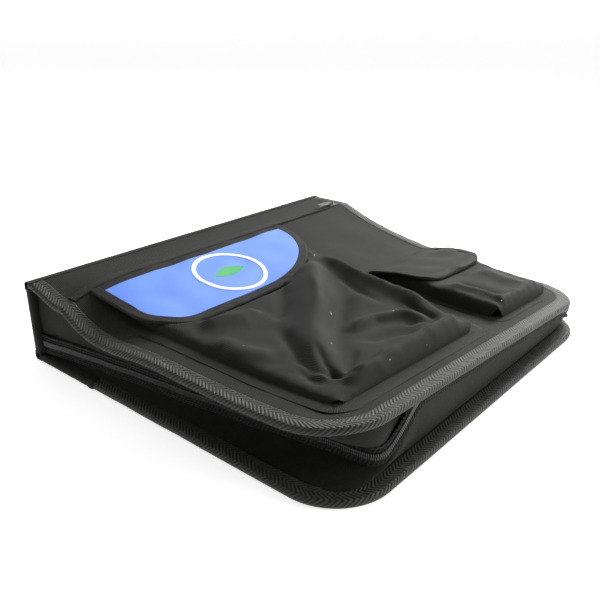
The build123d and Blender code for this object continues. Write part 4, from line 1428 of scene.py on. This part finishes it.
# ---------------------------------------------------------------- gussets and main zip
@dataclass
class Gussets(Maker):
    """The two soft walls and the coil zip that closes them."""

    counts: tuple[int, ...] = (90, 26, 84, 26, 90)
    cloth: float = 0.7 * MM
    tape_half: float = 8 * MM
    tooth_pitch: float = 1.45 * MM
    floor_z: float = 5.2 * MM
    spine_stop: float = 6 * MM
    near_spine: float = 6 * MM
    zip_start: float = 15.2 * MM
    zip_slope: float = 0.01246
    fore_rise: float = 26 * MM

    def build(self) -> None:
        """Builds both walls, both zip tapes and both rows of teeth."""
        self.foot = self.ring(near_fore=13 * MM, far=13 * MM, fore=13 * MM,
                              radius=(20 * MM, 31 * MM))
        self.line = self.ring(near_fore=45 * MM, far=12 * MM, fore=11 * MM,
                              radius=(8 * MM, 16 * MM))
        self.head = self.ring(near_fore=12 * MM, far=13 * MM, fore=16 * MM,
                              radius=(31 * MM, 31 * MM))
        self.lower_wall()
        self.upper_wall()
        self.tape("lower", -1, Body.BACK)
        self.tape("upper", 1, Body.FRONT)

    def ring(self, near_fore: float, far: float, fore: float,
             radius: tuple[float, float]) -> Points:
        """Line in plan at one level of the walls, given by its distances inside the case."""
        form = self.form
        stop = form.spine_face - self.spine_stop
        front = form.fore_back + fore
        corners = ((-form.half + self.near_spine, stop), (-form.half + near_fore, front),
                   (form.half - far, front), (form.half - far, stop))
        return rounded_route(corners, radius, self.counts)

    def zip_level(self, plan: Points) -> Points:
        """Height of the zip's middle, raised along the fore side."""
        form = self.form
        x, y = split(plan)
        away = form.spine_face - y
        level = self.zip_start + self.zip_slope * away
        fore = smooth(form.fore_back + 46 * MM, form.fore_back + 14 * MM, y)
        rise = smooth(form.x(42 * MM), form.x(94 * MM), x)
        fall = smooth(form.x(344 * MM), form.x(296 * MM), x)
        raised = fore * rise * fall
        level = level + self.fore_rise * raised
        return np.minimum(level, form.under(x, y) - (5 - 6 * raised) * MM)

    @staticmethod
    def cut_height(low: Points, high: Points) -> float:
        """Mean height of a wall's cloth, pulled straight between its two seams."""
        return float(np.linalg.norm(high - low, axis=1).mean())

    def lower_wall(self) -> None:
        """Soft wall sewn to the back cover."""
        form = self.form
        zip_z = self.zip_level(self.line) - self.tape_half * 0.75
        shares = np.linspace(1, 0, 16)
        grid = np.empty((len(shares), len(self.line), 3))
        place = run_length(self.line)
        for row, share in enumerate(shares):
            plan = self.foot * (1 - share) + self.line * share
            hollow = sin(share * pi)
            fold = ripple(place, 0.0, 70 * MM, 71) * 0.7 * MM * hollow
            near = smooth(-form.half + 60 * MM, -form.half + 20 * MM, plan[:, 0])
            push = -2.0 * MM * hollow * near + 1.4 * MM * hollow * (1 - near)
            corner = smooth(50 * MM, 20 * MM, np.hypot(plan[:, 0] + form.half - 40 * MM,
                                                       plan[:, 1] - form.fore_back - 12 * MM))
            push = push + 3.5 * MM * hollow * corner
            grid[row] = lift(plan + outward(self.line) * (push + fold)[:, None],
                             self.floor_z + (zip_z - self.floor_z) * share)
        obj = cloth("lower_gusset_cloth", grid, self.cloth)
        settle(obj, Body.BACK, self.finishes.gusset, ["lower_gusset"])

    def upper_wall(self) -> None:
        """Soft wall that hangs from the front cover."""
        form = self.form
        zip_z = self.zip_level(self.line) + self.tape_half * 0.75
        head_z = form.under(*split(self.head)) + 0.3 * MM
        shares = np.linspace(1, 0, 22)
        grid = np.empty((len(shares), len(self.line), 3))
        place = run_length(self.line)
        for row, share in enumerate(shares):
            plan = self.line * (1 - share) + self.head * share
            belly = sin(share**0.8 * pi)
            fold = ripple(place, share * 12 * MM, 60 * MM, 73) * 1.6 * MM * belly
            corner = smooth(60 * MM, 15 * MM, np.hypot(plan[:, 0] + form.half - 26 * MM,
                                                       plan[:, 1] - form.fore_back - 20 * MM))
            tall = np.clip((head_z - zip_z) / (40 * MM), 0, 1)
            push = (1.5 * MM + 8.0 * MM * corner) * belly * tall + fold * tall
            z = zip_z + (head_z - zip_z) * share
            z = np.minimum(z, form.under(*split(plan)) + 0.2 * MM)
            grid[row] = lift(plan + outward(self.line) * push[:, None], z)
        obj = cloth("upper_gusset_cloth", grid, self.cloth)
        settle(obj, Body.FRONT, self.finishes.gusset, ["upper_gusset"])

    def tape(self, label: str, side: int, body: Body) -> None:
        """One zip tape with its rolled hem and its row of teeth.

        Args:
            label: name of the half.
            side: -1 below the teeth and 1 above them.
            body: the body that it moves with.
        """
        form = self.form
        middle = self.zip_level(self.line)
        spots = np.linspace(0.5 * MM, self.tape_half, 27)
        ridges = 0.45 * MM * np.cos(spots / (1.9 * MM) * tau)
        hem = 1.5 * MM * np.exp(-(((spots - self.tape_half + 1.0 * MM) / (0.9 * MM)) ** 2))
        rows = []
        place = run_length(self.line)
        straight_run = smooth(form.x(320 * MM), form.x(290 * MM), self.line[:, 0])
        wander = ripple(place, 0.0, 46 * MM, 77) * 0.5 * MM * straight_run
        for spot, ridge, roll in zip(spots, ridges, hem):
            plan = self.line + outward(self.line) * (1.3 * MM + ridge + roll + wander)[:, None]
            z = middle + side * spot
            z = np.minimum(z, form.under(*split(plan)) + 0.1 * MM)
            rows.append(lift(plan, np.maximum(z, self.floor_z + 0.3 * MM)))
        grid = np.array(rows if side < 0 else rows[::-1])
        obj = cloth(f"{label}_tape_cloth", grid, 0.6 * MM)
        settle(obj, body, self.finishes.zip_tape, [f"{label}_zip_tape"])
        plan = self.line + outward(self.line) * (2.3 * MM + wander)[:, None]
        top = form.under(*split(plan)) - 0.6 * MM
        route = lift(plan, np.minimum(middle + side * 1.05 * MM, top))
        normal = lift(outward(self.line), 0.0)
        teeth = self.stitcher.row(f"{label}_teeth", route, normal, self.tooth_pitch,
                                  2.5 * MM, 1.05 * MM, pi / 2)
        settle(teeth, body, self.finishes.coil, [f"{label}_zip_coil"])


# ---------------------------------------------------------------- pockets
@dataclass(frozen=True)
class Fold:
    """One fold, crease or roll in a pocket's cloth, given in millimetres in plan."""

    route: tuple[tuple[float, float], ...]
    width: float
    rise: float
    lean: float = 0.0
    fade: float = 0.25


@dataclass
class Pocket(Maker):
    """A gathered bag pocket sewn to the front cover under a flap."""

    name: str
    corners: tuple[tuple[float, float], ...]
    depth: tuple[float, float, float, float]
    folds: tuple[Fold, ...]
    border: float = 9 * MM
    corner: float = 8 * MM
    step: float = 1.5 * MM
    seed: int = 5
    seam: float = 3.5 * MM
    flap: "Flap | None" = None
    fullness: tuple[float, float] = (1.09, 1.05)

    def build(self) -> None:
        """Builds the bag and its sewn border."""
        self.bag(self.plan())
        self.flange()

    def side(self, which: int, v: Points) -> Points:
        """X of the near (0) or far (1) side at distances from the spine."""
        top, foot = self.corners[which], self.corners[which + 2]
        share = (v - top[1]) / (foot[1] - top[1])
        return self.form.x(0) + (top[0] + (foot[0] - top[0]) * share) * MM

    def plan(self) -> Points:
        """Grid in plan from the mouth to the foot, with rounded foot corners."""
        form = self.form
        start, stop = self.corners[0][1], self.corners[2][1]
        radius = self.corner / MM
        level = np.linspace(start, stop - radius, int((stop - radius - start) * MM / self.step))
        angle = np.linspace(0, pi / 2, 8)[1:]
        vs = np.concatenate([level, stop - radius + radius * np.sin(angle)])
        bend = np.concatenate([level * 0, radius * (1 - np.cos(angle))]) * MM
        low, high = self.side(0, vs) + bend, self.side(1, vs) - bend
        count = int((high.max() - low.min()) / self.step)
        shares = np.linspace(0, 1, count)
        xs = low[:, None] + (high - low)[:, None] * shares
        ys = np.broadcast_to(form.y(vs * MM)[:, None], xs.shape)
        return np.stack([xs, ys], axis=-1)

    def height(self, x: Points, y: Points) -> Points:
        """Height of the bag over the cover's face."""
        form = self.form
        v = (form.spine_face - y) / MM
        start, stop = self.corners[0][1], self.corners[2][1]
        low, high = self.side(0, v), self.side(1, v)
        across = np.clip((x - low) / (high - low), 0, 1)
        along = np.clip((v - start) / (stop - start), 0, 1)
        a, b, c, d = self.depth
        mouth, foot = a * (1 - across) + b * across, c * (1 - across) + d * across
        body = mouth * (1 - along) + foot * along
        near_edge = np.minimum(x - low, high - x)
        foot_edge = (stop - v) * MM
        rim = np.minimum(near_edge, foot_edge)
        share = np.clip(rim / self.border, 0, 1)
        swell = np.sqrt(np.clip(1 - (1 - share) ** 2.6, 0, 1))
        total = body * MM * np.ones_like(x)
        for fold in self.folds:
            route = [(form.x(u * MM), form.y(w * MM)) for u, w in fold.route]
            total = total + crest(x, y, route, fold.width * MM, fold.rise * MM, fold.lean,
                                  fold.fade)
        total = total + ripple(x, y, 60 * MM, self.seed) * 0.5 * MM
        total = total + ripple(x, y, 26 * MM, self.seed + 1) * 0.12 * MM
        pucker = ripple(x, y, 14 * MM, self.seed + 2) * 0.5 * MM
        total = total + pucker * np.exp(-rim / (9 * MM))
        total = np.maximum(total, 1.2 * MM) * swell + 1.0 * MM
        return np.minimum(total, np.maximum(self.flap.room(x, y), 0.8 * MM))

    def bag(self, plan: Points) -> None:
        """The pocket's cloth with its gathers, which also stands in for the hem of its mouth."""
        x, y = split(plan)
        grid = self.form.laid(plan, self.height(x, y))
        obj = cloth(f"{self.name}_cloth", grid, 0.7 * MM)
        settle(obj, Body.FRONT, self.finishes.pocket,
               [self.name, f"{self.name}_hem"])

    def flange(self) -> None:
        """Flat border of the bag, with its stitches."""
        form = self.form
        start, stop = self.corners[0][1], self.corners[2][1]
        vs = np.linspace(start, stop, 60)
        near = np.stack([self.side(0, vs), form.y(vs * MM)], axis=1)
        far = np.stack([self.side(1, vs), form.y(vs * MM)], axis=1)[::-1]
        corners = (near[0], near[-1], far[0], far[-1])
        route = resample(rounded_route([tuple(c) for c in corners], self.corner,
                                       (60, 10, 60, 10, 60)), 1.6 * MM)
        end = self.seam + 2.5 * MM
        spots = np.array([-2.0 * MM, 0.5 * MM, self.seam * 0.6, end, end + 0.4 * MM])
        rises = np.array([1.0 * MM, 0.8 * MM, 0.55 * MM, 0.5 * MM, 0.0])
        rows = []
        for spot, rise in zip(spots, rises):
            plan = route + outward(route) * spot
            rows.append(form.laid(plan, rise))
        obj = cloth(f"{self.name}_border", np.array(rows), 0.5 * MM)
        settle(obj, Body.FRONT, self.finishes.pocket, [f"{self.name}_flange"])
        plan = route + outward(route) * self.seam
        line = form.laid(plan, 0.58 * MM)
        sewn = self.stitcher.row(f"{self.name}_stitches", line, (0, 0, 1), *POCKET_STITCHES)
        settle(sewn, Body.FRONT, self.finishes.thread)


# ---------------------------------------------------------------- flaps
@dataclass
class Flap(Maker):
    """A flap that hangs from its hinge over a pocket's mouth."""

    name: str
    body: Body
    hinge: float
    foot: float
    near: tuple[float, float]
    far: tuple[float, float]
    near_radius: float
    far_axes: tuple[float, float]
    thick: float = 2.4
    step: float = 2 * MM
    tape_seen: float = 8 * MM
    tape_cut: float = 18 * MM
    sewn_in: float = 6.6

    def sides(self, v: Points, inset: float) -> tuple[Points, Points]:
        """Both sides of the flap, in millimetres from the near end.

        Args:
            v: distances from the spine, in millimetres.
            inset: distance kept from the outline, in millimetres.

        Returns:
            The near and the far side.
        """
        share = (v - self.hinge) / (self.foot - self.hinge)
        near = self.near[0] + (self.near[1] - self.near[0]) * share + inset
        far = self.far[0] + (self.far[1] - self.far[0]) * share - inset
        stop = self.foot - inset
        radius = max(self.near_radius - inset, 1.0)
        down = np.clip((v - (stop - radius)) / radius, 0, 1)
        near = near + radius * (1 - np.sqrt(np.clip(1 - down**2, 0, 1)))
        wide, tall = self.far_axes[0] - inset, self.far_axes[1] - inset
        down = np.clip((v - (stop - tall)) / tall, 0, 1)
        far = far - wide * (1 - np.sqrt(np.clip(1 - down**2, 0, 1)))
        return near, far

    def plan(self, inset: float, start: float) -> Points:
        """Grid in plan, inside the outline by a distance.

        Args:
            inset: distance kept from the outline, in millimetres.
            start: where the first row is, in millimetres from the spine.

        Returns:
            Points in plan, in metres.
        """
        count = int((self.foot - start) * MM / self.step) + 8
        turn = np.linspace(0, pi / 2, count)
        vs = start + (self.foot - inset - start) * np.sin(turn)
        low, high = self.sides(vs, inset)
        shares = np.linspace(0, 1, max(24, int((high.max() - low.min()) * MM / self.step)))
        us = low[:, None] + (high - low)[:, None] * shares
        vs = np.broadcast_to(vs[:, None], us.shape)
        return np.stack([self.form.x(us * MM), self.form.y(vs * MM)], axis=-1)

    def surface(self, x: Points, y: Points) -> Points:
        """Height of the flap's outer face."""
        raise NotImplementedError

    def room(self, x: Points, y: Points) -> Points:
        """Height free under the flap, over the cover's face. It grows outside the flap."""
        u, v = (x + self.form.half) / MM, (self.form.spine_face - y) / MM
        low, high = self.sides(v, 0.0)
        outside = np.maximum(np.maximum(low - u, u - high), np.maximum(v - self.foot, 0.0))
        gap = self.surface(x, y) - self.form.top(x, y) - (self.thick + 1.2) * MM
        return gap + np.maximum(outside, 0.0) * 0.9 * MM

    def spans(self, low: Vector, high: Vector) -> Sequence[tuple[float, float]]:
        """Start and end in X of each patch between these corners."""
        return ((low.x, high.x),)

    def hooks(self, node: str) -> None:
        """Hook patches on the flap's lower face."""
        self.patches(node, lambda x, y: self.surface(x, y) - (self.thick + 0.5) * MM,
                     self.body, True)

    def loops(self, node: str, pocket: Pocket) -> None:
        """Loop patches on the pocket that the flap closes."""
        self.patches(node, lambda x, y: self.form.top(x, y) + pocket.height(x, y) + 0.5 * MM,
                     Body.FRONT, False)

    def patches(self, node: str, height_at: Height, body: Body, flip: bool) -> None:
        """Hook or loop patches that follow a surface.

        Args:
            node: CAD node that they stand for.
            height_at: height of their outer face.
            body: the body that they move with.
            flip: whether they face down.
        """
        low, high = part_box(node)
        for number, (start, stop) in enumerate(self.spans(low, high)):
            xs, ys = np.linspace(start, stop, 22), np.linspace(high.y, low.y, 12)
            plan = crossed(xs, ys)
            grid = lift(plan, height_at(*split(plan)))
            obj = cloth(f"{node}_{number + 1}", grid, 0.7 * MM, flip=flip)
            settle(obj, body, self.finishes.fuzz, [node])

    def outline(self, inset: float) -> Points:
        """Free edge of the flap, from the hinge's near end round to its far end."""
        turn = np.linspace(0, pi / 2, 160)
        vs = self.hinge + (self.foot - inset - self.hinge) * np.sin(turn)
        low, high = self.sides(vs, inset)
        near = np.stack([low, vs], axis=1)
        far = np.stack([high, vs], axis=1)[::-1]
        line = resample(np.concatenate([near, far]), 1.8)
        return np.stack([self.form.x(line[:, 0] * MM), self.form.y(line[:, 1] * MM)], axis=1)

    def shell(self, label: str, plan: Points, rise: float, thickness: float,
              finish: bpy.types.Material, slot: str, nodes: Sequence[str],
              flip: bool = False, uneven: float = 0.25 * MM) -> bpy.types.Object:
        """One layer of the flap.

        Args:
            label: name of the layer.
            plan: its grid in plan.
            rise: distance over the flap's face.
            thickness: thickness of the layer.
            finish: its material.
            slot: not used.
            nodes: CAD nodes that it stands for.
            flip: whether it faces down.
            uneven: size of its unevenness.

        Returns:
            The layer.
        """
        x, y = split(plan)
        soft = ripple(x, y, 34 * MM, 91) * uneven
        grid = lift(plan, self.surface(x, y) + rise + soft)
        obj = cloth(f"{self.name}_{label}", grid, thickness, flip=flip)
        settle(obj, self.body, finish, nodes)
        return obj

    def rim(self) -> None:
        """Tape folded round the free edge."""
        route = self.outline(0.0)
        thick = self.thick * MM

        def below(x: Points, y: Points) -> Points:
            """Height of the flap's lower face."""
            return self.surface(x, y) - thick

        grid = tape_over(route, self.tape_seen, below, thick, 0.25 * MM, 93)
        obj = cloth(f"{self.name}_tape", grid, 0.5 * MM)
        settle(obj, self.body, self.finishes.flap_tape, [f"{self.name}_binding"])
        line = self.outline(self.sewn_in)
        route = lift(line, self.surface(*split(line)) + 0.3 * MM)
        sewn = self.stitcher.row(f"{self.name}_stitches", route, (0, 0, 1), *POCKET_STITCHES)
        settle(sewn, self.body, self.finishes.thread)
        run_length(self.outline(0.0))[-1]


class LabelFlap(Flap):
    """The wide flap of the large pocket, with its blue label and its mark.

    Heights are in millimetres.
    """

    foot_level: float = 52.5
    far_lift: float = 7.5
    near_lift: float = 2.0

    def spans(self, low: Vector, high: Vector) -> Sequence[tuple[float, float]]:
        """A pair of patches, the far one clear of the flap's curved side."""
        return ((low.x, low.x + 40 * MM), (high.x - 62 * MM, high.x - 22 * MM))

    def surface(self, x: Points, y: Points) -> Points:
        """Height of the flap's outer face."""
        form = self.form
        u, v = (x + form.half) / MM, (form.spine_face - y) / MM
        share = np.clip((v - self.hinge) / (self.foot - self.hinge), 0, 1)
        foot = (self.foot_level + self.far_lift * smooth(130, 235, u)
                + self.near_lift * (1 - smooth(30, 70, u)))
        hinge = form.top(x, form.y(self.hinge * MM)) / MM + 0.9
        drop = 1.0 * share + 0.45 * share * (1 - share)
        return (hinge + (foot - hinge) * drop + 1.2 * np.sin(share * pi)) * MM

    def build(self) -> None:
        """Builds the flap's layers, its rim and its mark."""
        self.shell("face", self.plan(0.6, self.hinge), 0.0, 1.0 * MM, self.finishes.pocket,
                   "black_cloth", ())
        self.shell("label", self.plan(8.0, self.hinge + 8), 0.45 * MM, 0.5 * MM,
                   self.finishes.label, "blue_panel", [f"{self.name}_panel"])
        self.shell("lining_cloth", self.plan(1.5, self.hinge), -self.thick * MM, 0.6 * MM,
                   self.finishes.lining, "lining", [f"{self.name}_lining"], flip=True)
        self.rim()
        self.mark()
        self.hooks("label_flap_hook_patches")

    def mark(self) -> None:
        """A plain ring and a leaf, printed on the label."""
        low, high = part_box("emblem_ring")
        middle, reach = (low + high) / 2, (high.x - low.x) / 2
        turn = np.linspace(0, tau, 97)
        rows = [np.stack([middle.x + r * np.cos(turn), middle.y + r * np.sin(turn)], axis=1)
                for r in np.linspace(reach, reach - 3.6 * MM, 6)]
        self.print_on("ring", np.array(rows), self.finishes.white_print, "emblem_white",
                      ["emblem_ring"])
        low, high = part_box("emblem_leaf")
        along = np.linspace(0, 1, 40)
        bulge = np.sin(along * pi) ** 0.8 * (high.y - low.y) / 2
        middle_y = (low.y + high.y) / 2 + 1.2 * MM * np.sin(along * pi)
        xs = low.x + along * (high.x - low.x)
        rows = [np.stack([xs, middle_y + share * bulge], axis=1)
                for share in np.linspace(1, -1, 9)]
        self.print_on("leaf", np.array(rows), self.finishes.green_print, "emblem_green",
                      ["emblem_leaf"])

    def print_on(self, label: str, plan: Points, finish: bpy.types.Material, slot: str,
                 nodes: Sequence[str]) -> None:
        """Thin raised print that follows the label.

        Args:
            label: name of the print.
            plan: its grid in plan.
            finish: its material.
            slot: not used.
            nodes: CAD nodes that it stands for.
        """
        x, y = split(plan)
        soft = ripple(x, y, 34 * MM, 91) * 0.25 * MM
        grid = lift(plan, self.surface(x, y) + 0.62 * MM + soft)
        obj = cloth(f"{self.name}_{label}", grid, 0.25 * MM)
        settle(obj, self.body, finish, nodes)


class SmallFlap(Flap):
    """The plain flap of the small pocket. Heights are in millimetres."""

    hinge_rise: float = 2.2
    arch: float = 12.0

    def surface(self, x: Points, y: Points) -> Points:
        """Height of the flap's outer face."""
        form = self.form
        u, v = (x + form.half) / MM, (form.spine_face - y) / MM
        share = np.clip((v - self.hinge) / (self.foot - self.hinge), 0, 1)
        turn = np.clip(share * 1.15, 0, 1.15) * pi / 2
        rise = self.hinge_rise + self.arch * np.sin(turn) ** 0.9
        rise = rise + 1.5 * smooth(300, 340, u) * share
        return form.top(x, y) + rise * MM

    def build(self) -> None:
        """Builds the flap's layers and its rim."""
        self.shell("face", self.plan(0.6, self.hinge), 0.0, 1.2 * MM, self.finishes.pocket,
                   "black_cloth", [f"{self.name}_panel"], uneven=0.6 * MM)
        self.shell("lining_cloth", self.plan(1.5, self.hinge), -self.thick * MM, 0.6 * MM,
                   self.finishes.lining, "lining", [f"{self.name}_lining"], flip=True)
        self.rim()
        self.hooks("small_flap_hook_patches")


# ---------------------------------------------------------------- studio
LAMPS = (
    ("key_light", (1.15, 0.1, 0.85), 0.7, 42.0),
    ("fore_light", (0.75, -1.2, 0.5), 0.8, 16.0),
    ("spine_light", (-0.1, 1.1, 1.2), 0.8, 5.0),
)


@dataclass
class Studio:
    """Pale floor, soft lights and the camera."""

    finishes: Finishes
    spot: tuple[float, float, float] = (-0.43217, -0.34471, 0.270)
    azimuth: float = -49.327
    elevation: float = 22.731
    roll: float = -0.124
    lens: float = 42.55
    floor_size: float = 44.0
    wall_radius: float = 20.0
    wall_height: float = 5.0
    sky: float = 0.28

    def build(self) -> None:
        """Builds the set."""
        self.floor()
        self.lights()
        self.camera()

    def floor(self) -> None:
        """A wide pale floor under the case, with a low round wall far off."""
        deselect()
        bpy.ops.mesh.primitive_plane_add(size=self.floor_size, location=(0, 0, -0.0002))
        plane = bpy.context.active_object
        plane.name = "studio_floor"
        plane.data.materials.append(self.finishes.floor)
        deselect()
        bpy.ops.mesh.primitive_cylinder_add(
            vertices=64, radius=self.wall_radius, depth=self.wall_height,
            end_fill_type="NOTHING", location=(0, 0, self.wall_height / 2 - 0.01))
        wall = bpy.context.active_object
        wall.name = "studio_wall"
        wall.data.materials.append(self.finishes.floor)
        deselect()

    def light(self, name: str, place: tuple[float, float, float], size: float,
              power: float) -> None:
        """Adds a square soft light that faces the case.

        Args:
            name: name of the light.
            place: where it stands.
            size: length of its side.
            power: its power in watts.
        """
        lamp = bpy.data.lights.new(name, "AREA")
        lamp.size, lamp.energy = size, power
        obj = bpy.data.objects.new(name, lamp)
        obj.location = place
        aim = Vector((0, 0, 0.03)) - Vector(place)
        obj.rotation_euler = aim.to_track_quat("-Z", "Y").to_euler()
        bpy.context.scene.collection.objects.link(obj)

    def lights(self) -> None:
        """Key light off the far end, two weaker ones and an even sky."""
        for lamp in LAMPS:
            self.light(*lamp)
        world = bpy.data.worlds.new("white_world")
        world.use_nodes = True
        backdrop = world.node_tree.nodes["Background"]
        backdrop.inputs["Color"].default_value = (1, 1, 1, 1)
        backdrop.inputs["Strength"].default_value = self.sky
        bpy.context.scene.world = world
        bpy.context.scene.view_settings.view_transform = "Standard"

    def camera(self) -> None:
        """Camera at the angle the case is seen from."""
        lens = bpy.data.cameras.new("view")
        lens.lens, lens.sensor_width = self.lens, 36.0
        lens.clip_start, lens.clip_end = 0.01, 60.0
        obj = bpy.data.objects.new("view", lens)
        obj.location = self.spot
        a, e = radians(self.azimuth), radians(self.elevation)
        back = Vector((sin(a) * cos(e), -cos(a) * cos(e), sin(e)))
        obj.rotation_mode = "QUATERNION"
        turn = (-back).to_track_quat("-Z", "Y")
        obj.rotation_quaternion = turn @ Matrix.Rotation(radians(self.roll), 3, "Z").to_quaternion()
        bpy.context.scene.collection.objects.link(obj)
        bpy.context.scene.camera = obj


LARGE_FOLDS = (
    Fold(((214, 112), (190, 140), (142, 186), (84, 237), (54, 268)), 14, 12.5, -0.35, 0.22),
    Fold(((96, 183), (76, 213), (51, 252), (40, 272)), 5, -3.6),
    Fold(((200, 172), (162, 192), (109, 220), (62, 261)), 9, -6.5, 0.2),
    Fold(((224, 112), (214, 180), (197, 262)), 9, 8.5, 0.0, 0.2),
    Fold(((118, 228), (151, 230), (172, 241), (186, 262)), 6, 6.0, 0.2),
    Fold(((110, 246), (140, 252), (168, 266)), 6, -3.0),
    Fold(((52, 276), (81, 279), (123, 279), (180, 278), (194, 272)), 7, 9.5, 0.0, 0.1),
    Fold(((60, 264), (64, 278)), 4, -3.0, 0.0, 0.0),
    Fold(((182, 266), (190, 258)), 5, -3.0, 0.0, 0.0),
    Fold(((50, 143), (62, 152), (80, 160), (105, 157)), 7, 6.0, -0.3),
    Fold(((46, 164), (45, 193), (53, 223)), 8, 3.0),
    Fold(((150, 140), (120, 165), (96, 183)), 7, -2.8),
    Fold(((57, 272), (66, 252), (80, 232)), 2.6, -2.4, 0.0, 0.3),
    Fold(((60, 274), (78, 262), (104, 250)), 2.8, -2.6, 0.0, 0.3),
    Fold(((62, 277), (84, 271), (112, 268)), 2.4, -2.0, 0.0, 0.3),
    Fold(((53, 270), (52, 252), (58, 232)), 2.6, 2.0, 0.0, 0.3),
    Fold(((190, 266), (176, 256), (158, 250)), 2.6, -2.2, 0.0, 0.3),
    Fold(((193, 262), (190, 244), (196, 226)), 2.6, -2.2, 0.0, 0.3),
    Fold(((186, 269), (168, 268), (148, 272)), 2.2, -1.6, 0.0, 0.3),
    Fold(((172, 150), (150, 176), (118, 204)), 3.2, 1.6, 0.0, 0.35),
    Fold(((205, 150), (192, 190), (182, 222)), 4.0, -2.2, 0.0, 0.35),
)

SMALL_FOLDS = (
    Fold(((252, 232), (256, 262), (252, 284)), 6, 4.0),
    Fold(((270, 232), (268, 262), (266, 286)), 7, -3.0),
    Fold(((310, 232), (304, 262), (312, 282)), 9, 3.0),
    Fold(((244, 283), (280, 285), (322, 282)), 6, 4.0, 0.0, 0.1),
)


def main() -> None:
    """Builds the case, its looks and the studio."""
    logging.basicConfig(level=logging.INFO, format="%(message)s")
    form = CaseForm.from_frame()
    finishes = Finishes(Effects())
    stitcher = Stitcher()
    BackCover(form, finishes, stitcher).build()
    Gussets(form, finishes, stitcher).build()
    Spine(form, finishes, stitcher).build()
    FrontCover(form, finishes, stitcher).build()
    label_flap = LabelFlap(form, finishes, stitcher, "label_flap", Body.LABEL_FLAP, 50, 136,
                           (27, 27), (243, 243), 40, (93, 86))
    small_flap = SmallFlap(form, finishes, stitcher, "small_flap", Body.SMALL_FLAP, 159, 225,
                           (245, 244), (346, 343), 20, (22, 22))
    large_pocket = Pocket(form, finishes, stitcher, "large_pocket",
                          ((34, 80), (234, 80), (35, 287), (203, 286)),
                          (6.5, 7.5, 4.5, 8.0), LARGE_FOLDS, seam=8 * MM,
                          flap=label_flap)
    small_pocket = Pocket(form, finishes, stitcher, "small_pocket",
                          ((247, 168), (345, 168), (236, 291), (330, 291)),
                          (10.0, 11.0, 11.0, 8.0), SMALL_FOLDS, border=7 * MM, seed=15,
                          flap=small_flap)
    for piece in (large_pocket, small_pocket, label_flap, small_flap):
        piece.build()
    label_flap.loops("large_pocket_loop_patches", large_pocket)
    small_flap.loops("small_pocket_loop_patch", small_pocket)
    for node in ("main_zip_slider", "main_zip_pull", "pocket_zip_slider", "pocket_zip_pull"):
        dress(node, finishes.metal)
    stitcher.clear()
    Studio(finishes).build()


if __name__ == "__main__":
    main()
